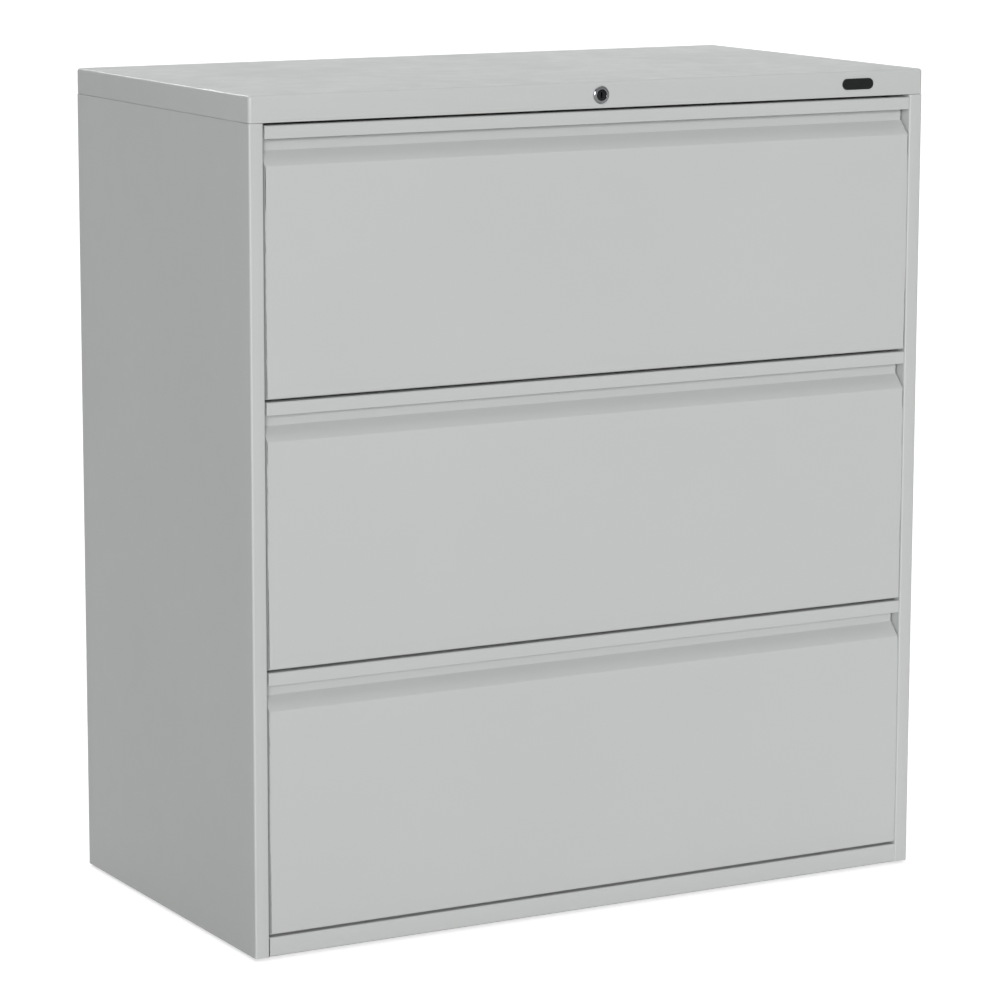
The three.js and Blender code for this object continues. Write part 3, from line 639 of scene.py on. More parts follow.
class Effects:
    """Node groups that several finishes share."""

    def __init__(self) -> None:
        """Makes the groups once."""
        self.dust = node_group(
            "resting_dust",
            {"Scale": 9.0, "Tint": 0.2, "Dullness": 0.0},
            {"Tint": FLOAT, "Dullness": FLOAT},
            self._dust,
        )
        self.edges = node_group(
            "thin_edges",
            {"Radius": 1.2 * MM, "Breaks": 140.0, "Wear": 0.5},
            {"Wear": FLOAT},
            self._edges,
        )
        self.peel = node_group(
            "orange_peel",
            {"Dimples": 720.0, "Grain": 2600.0, "Relief": 0.16},
            {"Normal": NORMAL, "Fleck": FLOAT},
            self._peel,
        )
        self.spangle = node_group(
            "plating",
            {"Crystals": 260.0, "Lines": 900.0, "Relief": 0.1},
            {"Tone": FLOAT, "Normal": NORMAL},
            self._spangle,
        )

    @staticmethod
    def _dust(tree: Tree, given: Inputs) -> dict[str, Socket]:
        """Fine dust on faces that look up, in soft patches.

        Args:
            tree: the group's tree.
            given: scale of the patches, and the tint and dullness of full dust.

        Returns: the tint and the dullness.
        """
        normal = tree.add("ShaderNodeNewGeometry").outputs["Normal"]
        rise = tree.add("ShaderNodeSeparateXYZ", Vector=normal).outputs[2]
        patches = tree.ramp(tree.noise(given["Scale"], 5.0), 0.35, 0.75)
        mask = tree.math("MULTIPLY", tree.ramp(rise, 0.55, 0.98), patches)
        return {name: tree.math("MULTIPLY", mask, given[name]) for name in ("Tint", "Dullness")}

    @staticmethod
    def _edges(tree: Tree, given: Inputs) -> dict[str, Socket]:
        """Wear where the shape turns within a short way, broken up by noise.

        Args:
            tree: the group's tree.
            given: the radius of that way, the scale of the breaks, and the wear of a full edge.

        Returns: the wear.
        """
        soft = tree.add("ShaderNodeBevel", {"samples": 4}, Radius=given["Radius"]).outputs[0]
        true = tree.add("ShaderNodeNewGeometry").outputs["Normal"]
        turn = tree.ramp(tree.math("SUBTRACT", 1.0, tree.dot(soft, true)), 0.01, 0.22)
        breaks = tree.ramp(tree.noise(given["Breaks"], 4.0), 0.3, 0.7, 0.35, 1.0)
        mask = tree.math("MULTIPLY", turn, breaks)
        return {"Wear": tree.math("MULTIPLY", mask, given["Wear"])}

    @staticmethod
    def _peel(tree: Tree, given: Inputs) -> dict[str, Socket]:
        """The fine, dimpled skin of a powder coat.

        Args:
            tree: the group's tree.
            given: scales of the dimples and of the grain in them, and strength of the relief.

        Returns: the normal and the fleck.
        """
        dimples, grain = tree.noise(given["Dimples"], 2.0), tree.noise(given["Grain"], 1.0)
        height = tree.math("ADD", dimples, tree.math("MULTIPLY", grain, 0.35))
        return {
            "Normal": tree.bump(given["Relief"], 0.12 * MM, height),
            "Fleck": tree.ramp(grain, 0.3, 0.7, 0.0, 0.5),
        }

    @staticmethod
    def _spangle(tree: Tree, given: Inputs) -> dict[str, Socket]:
        """Cloudy crystals and drawn lines of plated steel.

        Args:
            tree: the group's tree.
            given: scales of the crystals and of the lines, and strength of the relief.

        Returns: the tone and the normal.
        """
        where = tree.add("ShaderNodeTexCoord").outputs["Object"]
        cells = tree.add("ShaderNodeTexVoronoi", Vector=where, Scale=given["Crystals"])
        grey = tree.add("ShaderNodeSeparateColor", Color=cells.outputs["Color"]).outputs[0]
        lines = tree.noise(given["Lines"], 3.0, (1, 0.02, 1))
        crystals, streaks = tree.math("MULTIPLY", grey, 0.45), tree.math("MULTIPLY", lines, 0.55)
        return {
            "Tone": tree.math("ADD", crystals, streaks),
            "Normal": tree.bump(given["Relief"], 0.05 * MM, lines),
        }


@dataclass(frozen=True)
class Finish:
    """A surface finish. Each kind feeds its nodes to a Principled shader.

    Attributes:
        look: which finish it is.
        slot: the record's material slot.
        colour: linear base colour.
        roughness: middle roughness.
        metallic: share of bare metal.
    """

    look: Look
    slot: Slot
    colour: tuple[float, float, float]
    roughness: float
    metallic: float = 0.0

    def make(self, effects: Effects) -> bpy.types.Material:
        """Makes the material.

        Args:
            effects: the shared node groups.

        Returns: the material.
        """
        material = bpy.data.materials.new(self.look.value)
        material.use_nodes = True
        material.diffuse_color = (*self.colour, 1.0)
        tree = Tree(material.node_tree)
        shader = material.node_tree.nodes["Principled BSDF"]
        tree.feed(shader.inputs["Metallic"], self.metallic)
        for name, value in self.inputs(tree, effects).items():
            tree.feed(shader.inputs[name], value)
        return material

    def shade(self, factor: float) -> tuple[float, float, float, float]:
        """Returns the base colour times a factor, with its alpha."""
        return (*[min(1.0, c * factor) for c in self.colour], 1.0)

    def rough(self, less: float, more: float) -> tuple[float, float]:
        """Returns the least and the greatest roughness, so far below and above the middle."""
        return self.roughness - less, self.roughness + more

    def inputs(self, tree: Tree, effects: Effects) -> dict[str, object]:
        """Adds the finish's own nodes.

        Args:
            tree: the material's tree.
            effects: the shared node groups.

        Returns: a socket or constant for each of the shader's inputs that it sets.
        """
        raise NotImplementedError


@dataclass(frozen=True)
class PowderCoat(Finish):
    """Satin powder coat: orange peel, faint clouding, dust on top, thin paint on edges."""

    def inputs(self, tree: Tree, effects: Effects) -> dict[str, object]:
        """Adds the coat's nodes.

        Args:
            tree: the material's tree.
            effects: the shared node groups.

        Returns: what goes into the shader.
        """
        peel, edges = tree.group(effects.peel), tree.group(effects.edges, Wear=0.5)
        dust = tree.group(effects.dust, Tint=0.06, Dullness=0.08)
        cloud = tree.ramp(tree.noise(3.2, 3.0), 0.25, 0.75)
        base = tree.blend(cloud, self.shade(0.985), self.shade(1.012))
        flecked = tree.blend(peel["Fleck"], base, self.shade(0.965))
        worn = tree.blend(edges["Wear"], flecked, self.shade(1.14))
        rough = tree.ramp(tree.noise(34.0, 4.0), 0.3, 0.7, *self.rough(0.03, 0.04))
        return {
            "Base Color": tree.blend(dust["Tint"], worn, (0.62, 0.61, 0.58, 1)),
            "Roughness": tree.math("ADD", rough, dust["Dullness"]),
            "Normal": peel["Normal"],
        }


@dataclass(frozen=True)
class Plated(Finish):
    """Zinc plate: cloudy crystals, drawn lines and a duller film."""

    def inputs(self, tree: Tree, effects: Effects) -> dict[str, object]:
        """Adds the plate's nodes.

        Args:
            tree: the material's tree.
            effects: the shared node groups.

        Returns: what goes into the shader.
        """
        plating, dust = tree.group(effects.spangle), tree.group(effects.dust, Tint=0.2)
        film = tree.ramp(tree.noise(22.0, 4.0), 0.35, 0.7)
        tone = tree.blend(plating["Tone"], self.shade(0.8), self.shade(1.12))
        dull = tree.blend(tree.math("MULTIPLY", film, 0.3), tone, self.shade(0.72))
        return {
            "Base Color": tree.blend(dust["Tint"], dull, (0.5, 0.49, 0.46, 1)),
            "Roughness": tree.ramp(film, 0.0, 1.0, *self.rough(0.06, 0.12)),
            "Normal": plating["Normal"],
        }


@dataclass(frozen=True)
class Chrome(Finish):
    """Bright chrome with faint finger smears and small scratches."""

    def inputs(self, tree: Tree, effects: Effects) -> dict[str, object]:
        """Adds the chrome's nodes.

        Args:
            tree: the material's tree.
            effects: the shared node groups, not used here.

        Returns: what goes into the shader.
        """
        smear = tree.ramp(tree.noise(260.0, 4.0), 0.4, 0.75)
        scratch = tree.noise(2400.0, 2.0, (1, 1, 0.06))
        return {
            "Base Color": tree.blend(smear, self.shade(1.0), self.shade(0.86)),
            "Roughness": tree.ramp(smear, 0.0, 1.0, *self.rough(0.0, 0.14)),
            "Normal": tree.bump(0.05, 0.03 * MM, scratch),
        }


@dataclass(frozen=True)
class Moulded(Finish):
    """Moulded plastic or dark raw steel: fine pitting, worn lighter on its edges.

    Attributes:
        pits: cells of pitting per metre.
        depth: strength of the pitting.
        gloss: strength of the surface reflection.
    """

    pits: float = 1500.0
    depth: float = 0.15
    gloss: float = 0.5

    def inputs(self, tree: Tree, effects: Effects) -> dict[str, object]:
        """Adds the moulding's nodes.

        Args:
            tree: the material's tree.
            effects: the shared node groups.

        Returns: what goes into the shader.
        """
        edges, dust = tree.group(effects.edges, Wear=0.35), tree.group(effects.dust, Tint=0.25)
        cloud = tree.ramp(tree.noise(self.pits / 40, 4.0), 0.3, 0.7)
        base = tree.blend(cloud, self.shade(0.85), self.shade(1.2))
        worn = tree.blend(edges["Wear"], base, self.shade(2.4))
        return {
            "Base Color": tree.blend(dust["Tint"], worn, (0.3, 0.29, 0.27, 1)),
            "Roughness": tree.ramp(cloud, 0.0, 1.0, *self.rough(0.05, 0.08)),
            "Normal": tree.bump(self.depth, 0.08 * MM, tree.noise(self.pits, 2.0)),
            "Specular IOR Level": self.gloss,
        }


class Palette:
    """Every finish of the cabinet, made once."""

    def __init__(self) -> None:
        """Makes the materials."""
        effects = Effects()
        finishes = (
            PowderCoat(Look.POWDER, Slot.PAINT, (0.456, 0.467, 0.461), 0.36),
            Plated(Look.ZINC, Slot.ZINC, (0.60, 0.61, 0.62), 0.34, 0.92),
            # Real chrome with its colour set low, so its reflections come out painted darker.
            Chrome(Look.CHROME, Slot.CHROME, (0.42, 0.43, 0.44), 0.08, 1.0),
            # Lock plug: chrome whose near-black colour paints the dark reflection of its
            # surroundings.
            Chrome(Look.SMOKED, Slot.CHROME, (0.05, 0.05, 0.053), 0.16, 1.0),
            Moulded(Look.RAW, Slot.BLACK_STEEL, (0.06, 0.06, 0.064), 0.55, 0.6, 700.0, 0.3),
            Moulded(Look.PLASTIC, Slot.BLACK_PLASTIC, (0.010, 0.011, 0.011), 0.42, gloss=0.2),
        )
        self.slots = {finish.look: finish.slot.value for finish in finishes}
        self.materials = {finish.look: finish.make(effects) for finish in finishes}


class Bench:
    """Turns skins into finished objects on their bodies."""

    def __init__(self, palette: Palette) -> None:
        """Keeps the palette and each node's body.

        Args:
            palette: the finishes.
        """
        self.palette = palette
        self.body_of = {n: o["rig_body"] for n, o in frame["nodes"].items()}

    def put(
        self,
        name: str,
        skin: Skin,
        look: Look,
        node: str,
        bevel: float = 0.0,
        stands_for: bool = True,
    ) -> None:
        """Makes an object that rides with a node's body.

        Args:
            name: the object's name.
            skin: its closed surfaces.
            look: the finish.
            node: the CAD node it belongs to.
            bevel: width of the rounding on sharp edges.
            stands_for: the object takes the node's place.
        """
        mesh = bpy.data.meshes.new(name)
        faces = [face for block in skin.faces for face in block.tolist()]
        mesh.from_pydata(skin.points.tolist(), [], faces)
        mesh.validate()
        mesh.shade_smooth()
        mesh.set_sharp_from_angle(angle=SMOOTH_BELOW)
        mesh.materials.append(self.palette.materials[look])
        piece = bpy.data.objects.new(name, mesh)
        bpy.context.scene.collection.objects.link(piece)
        self._soften(piece, bevel)
        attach(piece, self.body_of[node])
        if stands_for:
            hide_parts(node)
        log.info("%s: %d points, %d faces", name, len(skin.points), len(faces))

    def keep(self, node: str, look: Look, bevel: float) -> None:
        """Gives a CAD node its finish and softer edges.

        Args:
            node: the node's name.
            look: the finish.
            bevel: width of the rounding.
        """
        piece = frame["nodes"][node]
        piece.data.materials.clear()
        piece.data.materials.append(self.palette.materials[look])
        weld = piece.modifiers.new("weld", "WELD")
        weld.merge_threshold = WELD
        self._soften(piece, bevel)
        log.info("%s: kept from the frame", node)

    @staticmethod
    def _soften(piece: bpy.types.Object, width: float) -> None:
        """Rounds an object's sharp edges.

        Args:
            piece: the object.
            width: width of the rounding; none at 0.
        """
        if not width:
            return
        bevel = piece.modifiers.new("edge", "BEVEL")
        bevel.width = width
        bevel.segments = 2
        bevel.limit_method = "ANGLE"
        bevel.angle_limit = BEVEL_ABOVE
        bevel.harden_normals = True


# Sub-assemblies


@dataclass(frozen=True)
class Sheet:
    """Sheet steel of the painted pieces.

    Attributes:
        gauge: its thickness.
        bend: inside radius of a fold.
        seam: gap between joined pieces.
        clear: setback of a face that would lie in another.
        edge: rounding of its cut edges.
        patch: greatest step between points on a flat that is bowed.
    """

    gauge: float = 1.0 * MM
    bend: float = 1.5 * MM
    seam: float = 0.3 * MM
    clear: float = 0.025 * MM
    edge: float = 0.22 * MM
    patch: float = 24 * MM

    def fold(self, corners: Sequence[tuple[float, float]], side: int) -> tuple[Array, Array]:
        """Folds a section in this sheet, and returns its near and far faces."""
        return folded(corners, side, self.gauge, self.bend)


@dataclass
class TopCap:
    """Top cap: a shallow tray turned over, with a hole for the lock in its header."""

    bench: Bench
    sheet: Sheet
    corner: float = 4 * MM
    edge: float = 3.5 * MM
    hem: float = 0.5 * MM
    lower_return: float = 12 * MM
    hole_radius: float = 8.8 * MM
    hole_points: int = 48
    steps: int = 8

    def build(self) -> None:
        """Makes the cap: a rounded rectangle carried along a profile of insets and heights."""
        low, high = box_of("top_cap")
        gauge, hem, edge = self.sheet.gauge, self.hem, self.edge
        foot, top = low[2], high[2]
        inside = np.vstack([
            quarter((edge, top - gauge), (gauge, top - edge), 1, 5),
            [[gauge, foot + hem / 2]],
        ])
        rim = np.vstack([
            quarter((gauge, foot + hem / 2), (gauge - hem, foot), -1, 3)[1:],
            quarter((gauge - hem, foot), (0, foot + hem), 1, 4)[1:],
        ])
        outside = quarter((0, top - edge), (edge, top), -1, 8)
        rings = []
        for inset, z in np.vstack([inside, rim, outside]):
            ring = rounded_ring(low[:2] + inset, high[:2] - inset, self.corner - inset, self.steps)
            rings.append(Axis.Z.place(ring, z))
        skin = self._pierced(np.stack(rings), len(inside) - 2, len(inside) + len(rim) - 1)
        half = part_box("base_front_rail")[1][0]
        shelf = rectangle(-half, half, low[1] + gauge / 2, low[1] + self.lower_return)
        strip = plate([shelf], foot, foot + gauge, Axis.Z)
        self.bench.put("top_cap_skin", together(skin, strip), Look.POWDER, "top_cap")

    def _pierced(self, rings: Array, inner_row: int, outer_row: int) -> Skin:
        """Lofts the cap and cuts the lock's hole through its inner and outer front walls.

        The rings start in the middle of the front, so the hole takes the place of the first
        and last face of a row. Each of them becomes one face that goes round half the hole.

        Args:
            rings: the cap's rings.
            inner_row, outer_row: first ring of the inner and of the outer wall.

        Returns: the cap with its hole.
        """
        skin, around, points = lofted(rings), rings.shape[1], [rings.reshape(-1, 3)]
        centre = sum(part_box("lock_housing"), Vector()) / 2
        spots = circle((centre.x, centre.z), self.hole_radius, self.hole_points)
        spots = np.roll(spots[::-1], self.hole_points // 4 + 1, 0)
        half, halves, loops, drop = self.hole_points // 2, [], [], []
        for n, (row, turn) in enumerate(((inner_row, -1), (outer_row, 1))):
            first, above = row * around, (row + 1) * around
            loop = np.append(np.arange(self.hole_points), 0)
            loop += len(skin.points) + n * self.hole_points
            right, left = loop[: half + 1][::turn], loop[half:][::turn]
            halves.append([first, first + 1, above + 1, above, *right])
            halves.append([above - 1, first, *left, above, above + around - 1])
            points.append(Axis.Y.place(spots, rings[row, 0, 1]))
            loops.append(loop)
            drop += [first, above - 1]
        inner, outer = loops
        bore = np.stack([outer[1:], outer[:-1], inner[:-1], inner[1:]], -1)
        walls, *ends = skin.faces
        turn = -1 if walls[0, 0] > walls[0, 2] else 1
        added = [block[:, ::turn] for block in (np.array(halves), bore)]
        return Skin(np.vstack(points), [np.delete(walls, drop, 0), *ends, *added])


@dataclass
class SidePanel:
    """Side panel: stile, wall and rear flange in one folded sheet, and its tongue."""

    bench: Bench
    sheet: Sheet
    hand: Hand
    stile: float = 18.3 * MM
    stile_return: float = 41.2 * MM
    rear_flange: float = 14 * MM
    tongue_height: float = 22 * MM
    tongue_lap: float = 20 * MM
    tongue_setback: float = 26 * MM
    rear_setback: float = 21.6 * MM
    hollow: float = 0.35 * MM

    def build(self) -> None:
        """Makes the panel: a section in plan carried upright, and a welded strip."""
        node, sheet = f"{self.hand.word}_side_panel", self.sheet
        low, high = box_of("right_side_panel")
        half, front, back, foot = high[0], low[1], high[1], low[2]
        top = high[2] - self.tongue_height
        opening, inside = half - self.stile, half - sheet.gauge
        start, end = (opening, front + self.stile_return), (half - self.rear_flange, back)
        section = sheet.fold([start, (opening, front), (half, front), (half, back), end], 1)
        wall = carried(*divided(*section, sheet.patch), stations(foot, top, sheet.patch), Axis.Z)
        flat = wall.points[:, 0] > inside - sheet.gauge / 10
        wall = wall.hollowed(Axis.X, -self.hollow, low, np.array([half, back, top]), flat)
        weld, face, lap = inside - sheet.seam / 10, inside - sheet.seam, top - self.tongue_lap
        near = [(weld, lap), (weld, top - sheet.seam), (face, top), (face, high[2])]
        tongue = np.array([(face - sheet.gauge, lap), *near, (face - sheet.gauge, high[2])])
        strip = plate([tongue], front + self.tongue_setback, back - self.rear_setback, Axis.Y)
        skin = together(wall, strip).mirrored(self.hand)
        self.bench.put(f"{node}_skin", skin, Look.POWDER, node, sheet.edge)


@dataclass
class BackPanel:
    """Back panel: a wide sheet with a return on each side."""

    bench: Bench
    sheet: Sheet
    side_return: float = 20 * MM
    hollow: float = 0.5 * MM
    patch: float = 30 * MM

    def build(self) -> None:
        """Makes the panel: a section in plan carried upright."""
        low, high = box_of("back_panel")
        half, face = high[0], high[1]
        front = face - self.side_return
        corners = [(half, front), (half, face), (-half, face), (-half, front)]
        section = divided(*self.sheet.fold(corners, 1), self.patch)
        skin = carried(*section, stations(low[2], high[2], self.patch), Axis.Z)
        flat = skin.points[:, 1] > face - 1.1 * self.sheet.gauge
        skin = skin.hollowed(Axis.Y, -self.hollow, low, high, flat)
        self.bench.put("back_panel_skin", skin, Look.POWDER, "back_panel", self.sheet.edge)


@dataclass
class BaseRail:
    """Front rail below the drawers: a channel open to the back."""

    bench: Bench
    sheet: Sheet
    step: float = 60 * MM

    def build(self) -> None:
        """Makes the rail: a section from the side carried across."""
        node = "base_front_rail"
        (x0, y0, z0), (x1, y1, z1) = box_of(node)
        section = self.sheet.fold([(y1, z0), (y0, z0), (y0, z1), (y1, z1)], -1)
        skin = carried(*section, stations(x0, x1, self.step), Axis.X)
        self.bench.put(f"{node}_skin", skin, Look.POWDER, node, self.sheet.edge)


@dataclass
class DrawerFront:
    """Drawer front: one sheet folded into face, slope, recess wall, shelf and lip."""

    bench: Bench
    sheet: Sheet
    name: str
    lip: float = 15 * MM
    hem: float = 5 * MM
    recess: float = 16 * MM
    wall: float = 14.3 * MM
    slope: float = 16.7 * MM
    flange: float = 16 * MM
    flange_foot: float = 8 * MM
    flange_height: float = 235 * MM
    hollow: float = 0.2 * MM

    def build(self) -> None:
        """Makes the front: a section from the side carried across, and plates at its ends."""
        node, sheet = f"{self.name}_drawer_front", self.sheet
        low, high = box_of(node)
        gauge, half, face, back = sheet.gauge, high[0], low[1], high[1]
        lip_foot = high[2] - self.lip
        wall_foot = lip_foot - self.wall
        slope_foot = wall_foot - self.slope
        shelf = high[2] - gauge
        lower = [
            (back, low[2]),
            (face, low[2]),
            (face, slope_foot),
            (face + self.recess, wall_foot),
            (face + self.recess, shelf),
        ]
        section = sheet.fold([*lower, (face + gauge, shelf), (face + gauge, lip_foot)], -1)
        path = stations(-half, half, sheet.patch)
        skin = carried(*divided(*section, sheet.patch), path, Axis.X)
        flat = skin.points[:, 2] < slope_foot
        crest = np.array([half, back, slope_foot])
        hem, fold, middle = lip_foot + self.hem, face + gauge, lip_foot + gauge / 2
        lip = np.vstack([
            [[fold + gauge, hem], [fold, hem]],
            quarter((fold, middle), (fold + gauge / 2, lip_foot), -1, 4),
            quarter((fold + gauge / 2, lip_foot), (fold + gauge, middle), 1, 4)[1:],
        ])
        end = np.vstack([sheet.fold(lower, -1)[0], [[back, shelf]]])
        parts = [
            skin.hollowed(Axis.Y, self.hollow, low, crest, flat),
            plate([lip], -half, half, Axis.X),
        ]
        foot, rear = low[2] + self.flange_foot, back - sheet.clear
        for hand in Hand:
            edge, inner, outer = (
                hand.value * (half - inset) for inset in (self.flange, gauge, sheet.clear)
            )
            parts.append(plate([end], *sorted((inner, outer)), Axis.X))
            strip = rectangle(*sorted((edge, inner)), back - gauge, rear)
            parts.append(plate([strip], foot, foot + self.flange_height, Axis.Z))
        self.bench.put(f"{node}_skin", together(*parts), Look.POWDER, node, sheet.edge)


@dataclass
class DrawerTray:
    """Drawer tray: floor and sides in one folded sheet, with a front and a back wall."""

    bench: Bench
    sheet: Sheet
    name: str
    rim: float = 6 * MM
    patch: float = 40 * MM

    def build(self) -> None:
        """Makes the tray: a section from the front carried back, and its two end walls."""
        node, sheet = f"{self.name}_drawer_tray", self.sheet
        low, high = box_of(node)
        gauge, half, foot, top = sheet.gauge, high[0], low[2], high[2]
        inner, lined = half - self.rim, half - gauge
        floor, ceiling = foot + gauge, top - gauge
        right = [(inner, top), (half, top), (half, foot)]
        section = sheet.fold([*right, *[(-x, z) for x, z in right[::-1]]], -1)
        path = stations(low[1], high[1], self.patch)
        trough = carried(*divided(*section, self.patch), path, Axis.Y)
        corners = [(lined, ceiling), (lined, floor), (-lined, floor), (-lined, ceiling)]
        lining = sheet.fold(corners, -1)[0]
        walls = [
            plate([lining], low[1] + sheet.clear, low[1] + gauge, Axis.Y),
            plate([lining], high[1] - gauge, high[1] - sheet.clear, Axis.Y),
        ]
        self.bench.put(f"{node}_skin", together(trough, *walls), Look.POWDER, node, sheet.edge)


@dataclass
class HangingRail:
    """Hanging rail: an upright strip whose ends hook over the tray's sides."""

    bench: Bench
    name: str
    place: str
    hook: float = 9 * MM
    rim: float = 6 * MM
    seam: float = 0.3 * MM
    edge: float = 0.5 * MM

    def build(self) -> None:
        """Makes the rail: an outline from the front, mirrored and given its thickness."""
        node = f"{self.name}_{self.place}_hanging_rail"
        low, high = box_of(node)
        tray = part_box(f"{self.name}_drawer_tray")[1]
        body, seat = tray.x - self.rim - self.seam, tray.z + self.seam
        inside, tip = tray.x + self.seam, tray.z - self.hook
        under = [(body, low[2]), (body, seat), (inside, seat), (inside, tip)]
        right = np.array([*under, (high[0], tip), (high[0], high[2])])
        outline = np.vstack([right, (right * [-1, 1])[::-1]])
        strip = plate([outline], low[1], high[1], Axis.Y)
        self.bench.put(f"{node}_strip", strip, Look.ZINC, node, self.edge)


@dataclass
class Slide:
    """Three-member ball slide of one drawer and hand, with its balls and ball strips."""

    bench: Bench
    name: str
    hand: Hand
    gauge: float = 1.2 * MM
    bend: float = 0.8 * MM
    edge: float = 0.2 * MM
    step: float = 60 * MM
    play: float = 0.3 * MM
    ball: float = 2.9 * MM
    ball_end: float = 1.25
    pitch: float = 16 * MM
    strip: float = 0.7 * MM
    strip_reach: float = 0.9
    strip_hole: float = 0.53
    end_room: float = 4 * MM
    hook_width: float = 8 * MM
    hook_neck: float = 6 * MM
    hook_drop: float = 6 * MM
    hook_gauge: float = 1.5 * MM

    def build(self) -> None:
        """Makes the members, then the balls."""
        outer, middle, inner = (
            box_of(f"{self.name}_right_{member}_rail") for member in ("outer", "middle", "inner")
        )
        web = middle[1][0] + self.gauge + self.play
        level = (outer[0][2] + outer[1][2]) / 2
        hooks = self._hooks(web, outer[1][0], level)
        self._member("outer", outer, (web, outer[0][0]), -1, hooks)
        self._member("middle", middle, (middle[1][0], middle[0][0]), -1, [])
        self._member("inner", inner, (inner[0][0], inner[1][0]), 1, [])
        start, end, room = outer[0][1], outer[1][1], self.end_room
        half = (end - start) / 2
        parts = self._race(outer, middle, level, (end - half + room, end - room))
        parts += self._race(middle, inner, level, (start + room, start + half - room))
        skin = together(*parts).mirrored(self.hand)
        stem = f"{self.name}_{self.hand.word}"
        # The balls share the lowered chrome colour, whose reflections are painted darker.
        self.bench.put(f"{stem}_balls", skin, Look.CHROME, f"{stem}_middle_rail", 0.0, False)

    def _member(
        self, member: str, box: Box, span: tuple[float, float], side: int, extra: list[Skin]
    ) -> None:
        """Makes one folded member.

        Args:
            member: outer, middle or inner.
            box: its box.
            span: x of the web's outer face, and x of the flanges' free edges.
            side: which side the sheet lies on.
            extra: skins that are part of it.
        """
        (_, y0, z0), (_, y1, z1) = box
        face, tip = span
        corners = [(tip, z1), (face, z1), (face, z0), (tip, z0)]
        section = folded(corners, side, self.gauge, self.bend)
        skin = together(carried(*section, stations(y0, y1, self.step), Axis.Y), *extra)
        node = f"{self.name}_{self.hand.word}_{member}_rail"
        self.bench.put(f"{node}_section", skin.mirrored(self.hand), Look.ZINC, node, self.edge)

    def _hooks(self, web: float, tip: float, level: float) -> list[Skin]:
        """Hooks by which the outer member hangs in its two posts.

        Args:
            web, tip: x of the outer web's face and of the hooks' ends.
            level: height of the slide's middle.

        Returns: a skin for each hook.
        """
        neck = self.hook_neck / 2
        root, lip, drop = web - self.gauge / 2, tip - self.hook_gauge, neck + self.hook_drop
        below = [(root, -neck), (lip, -neck), (lip, -drop), (tip, -drop)]
        shape = np.array([*below, (tip, neck), (root, neck)]) + [0, level]
        skins, half = [], self.hook_width / 2
        for end in ("front", "rear"):
            low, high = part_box(f"{end}_right_post")
            middle = (low.y + high.y) / 2
            skins.append(plate([shape], middle - half, middle + half, Axis.Y))
        return skins

    def _race(
        self, outside: Box, inside: Box, level: float, span: tuple[float, float]
    ) -> list[Skin]:
        """Balls and their strips between two members' flanges.

        Args:
            outside, inside: boxes of the wrapping and the wrapped member.
            level: height of the slide's middle.
            span: where the balls lie along the slide.

        Returns: the skins of both rows.
        """
        rise = (outside[1][2] - self.gauge + inside[1][2]) / 2 - level
        low, high = max(outside[0][0], inside[0][0]), min(outside[1][0], inside[1][0])
        x = (low + high - self.gauge) / 2
        places = stations(*span, self.pitch)[1:-1]
        reach = self.ball * self.strip_reach
        holes = [circle((x, p), self.ball * self.strip_hole, 10) for p in places]
        outline = rectangle(x - reach, x + reach, *span)
        skins = []
        for z in (level + rise, level - rise):
            skins.append(plate([outline, *holes], z - self.strip / 2, z + self.strip / 2, Axis.Z))
            skins += [self._ball((x, p, z)) for p in places]
        return skins

    def _ball(self, centre: Sequence[float]) -> Skin:
        """One ball: five rings at the cosine and sine of even latitudes times its radius.

        Args:
            centre: its middle.

        Returns: its skin.
        """
        latitude = np.linspace(-self.ball_end, self.ball_end, 5)
        profile = unit_ring(latitude) * self.ball / 2 + [0, centre[2]]
        return turned(profile, centre[:2], Axis.Z, 8)


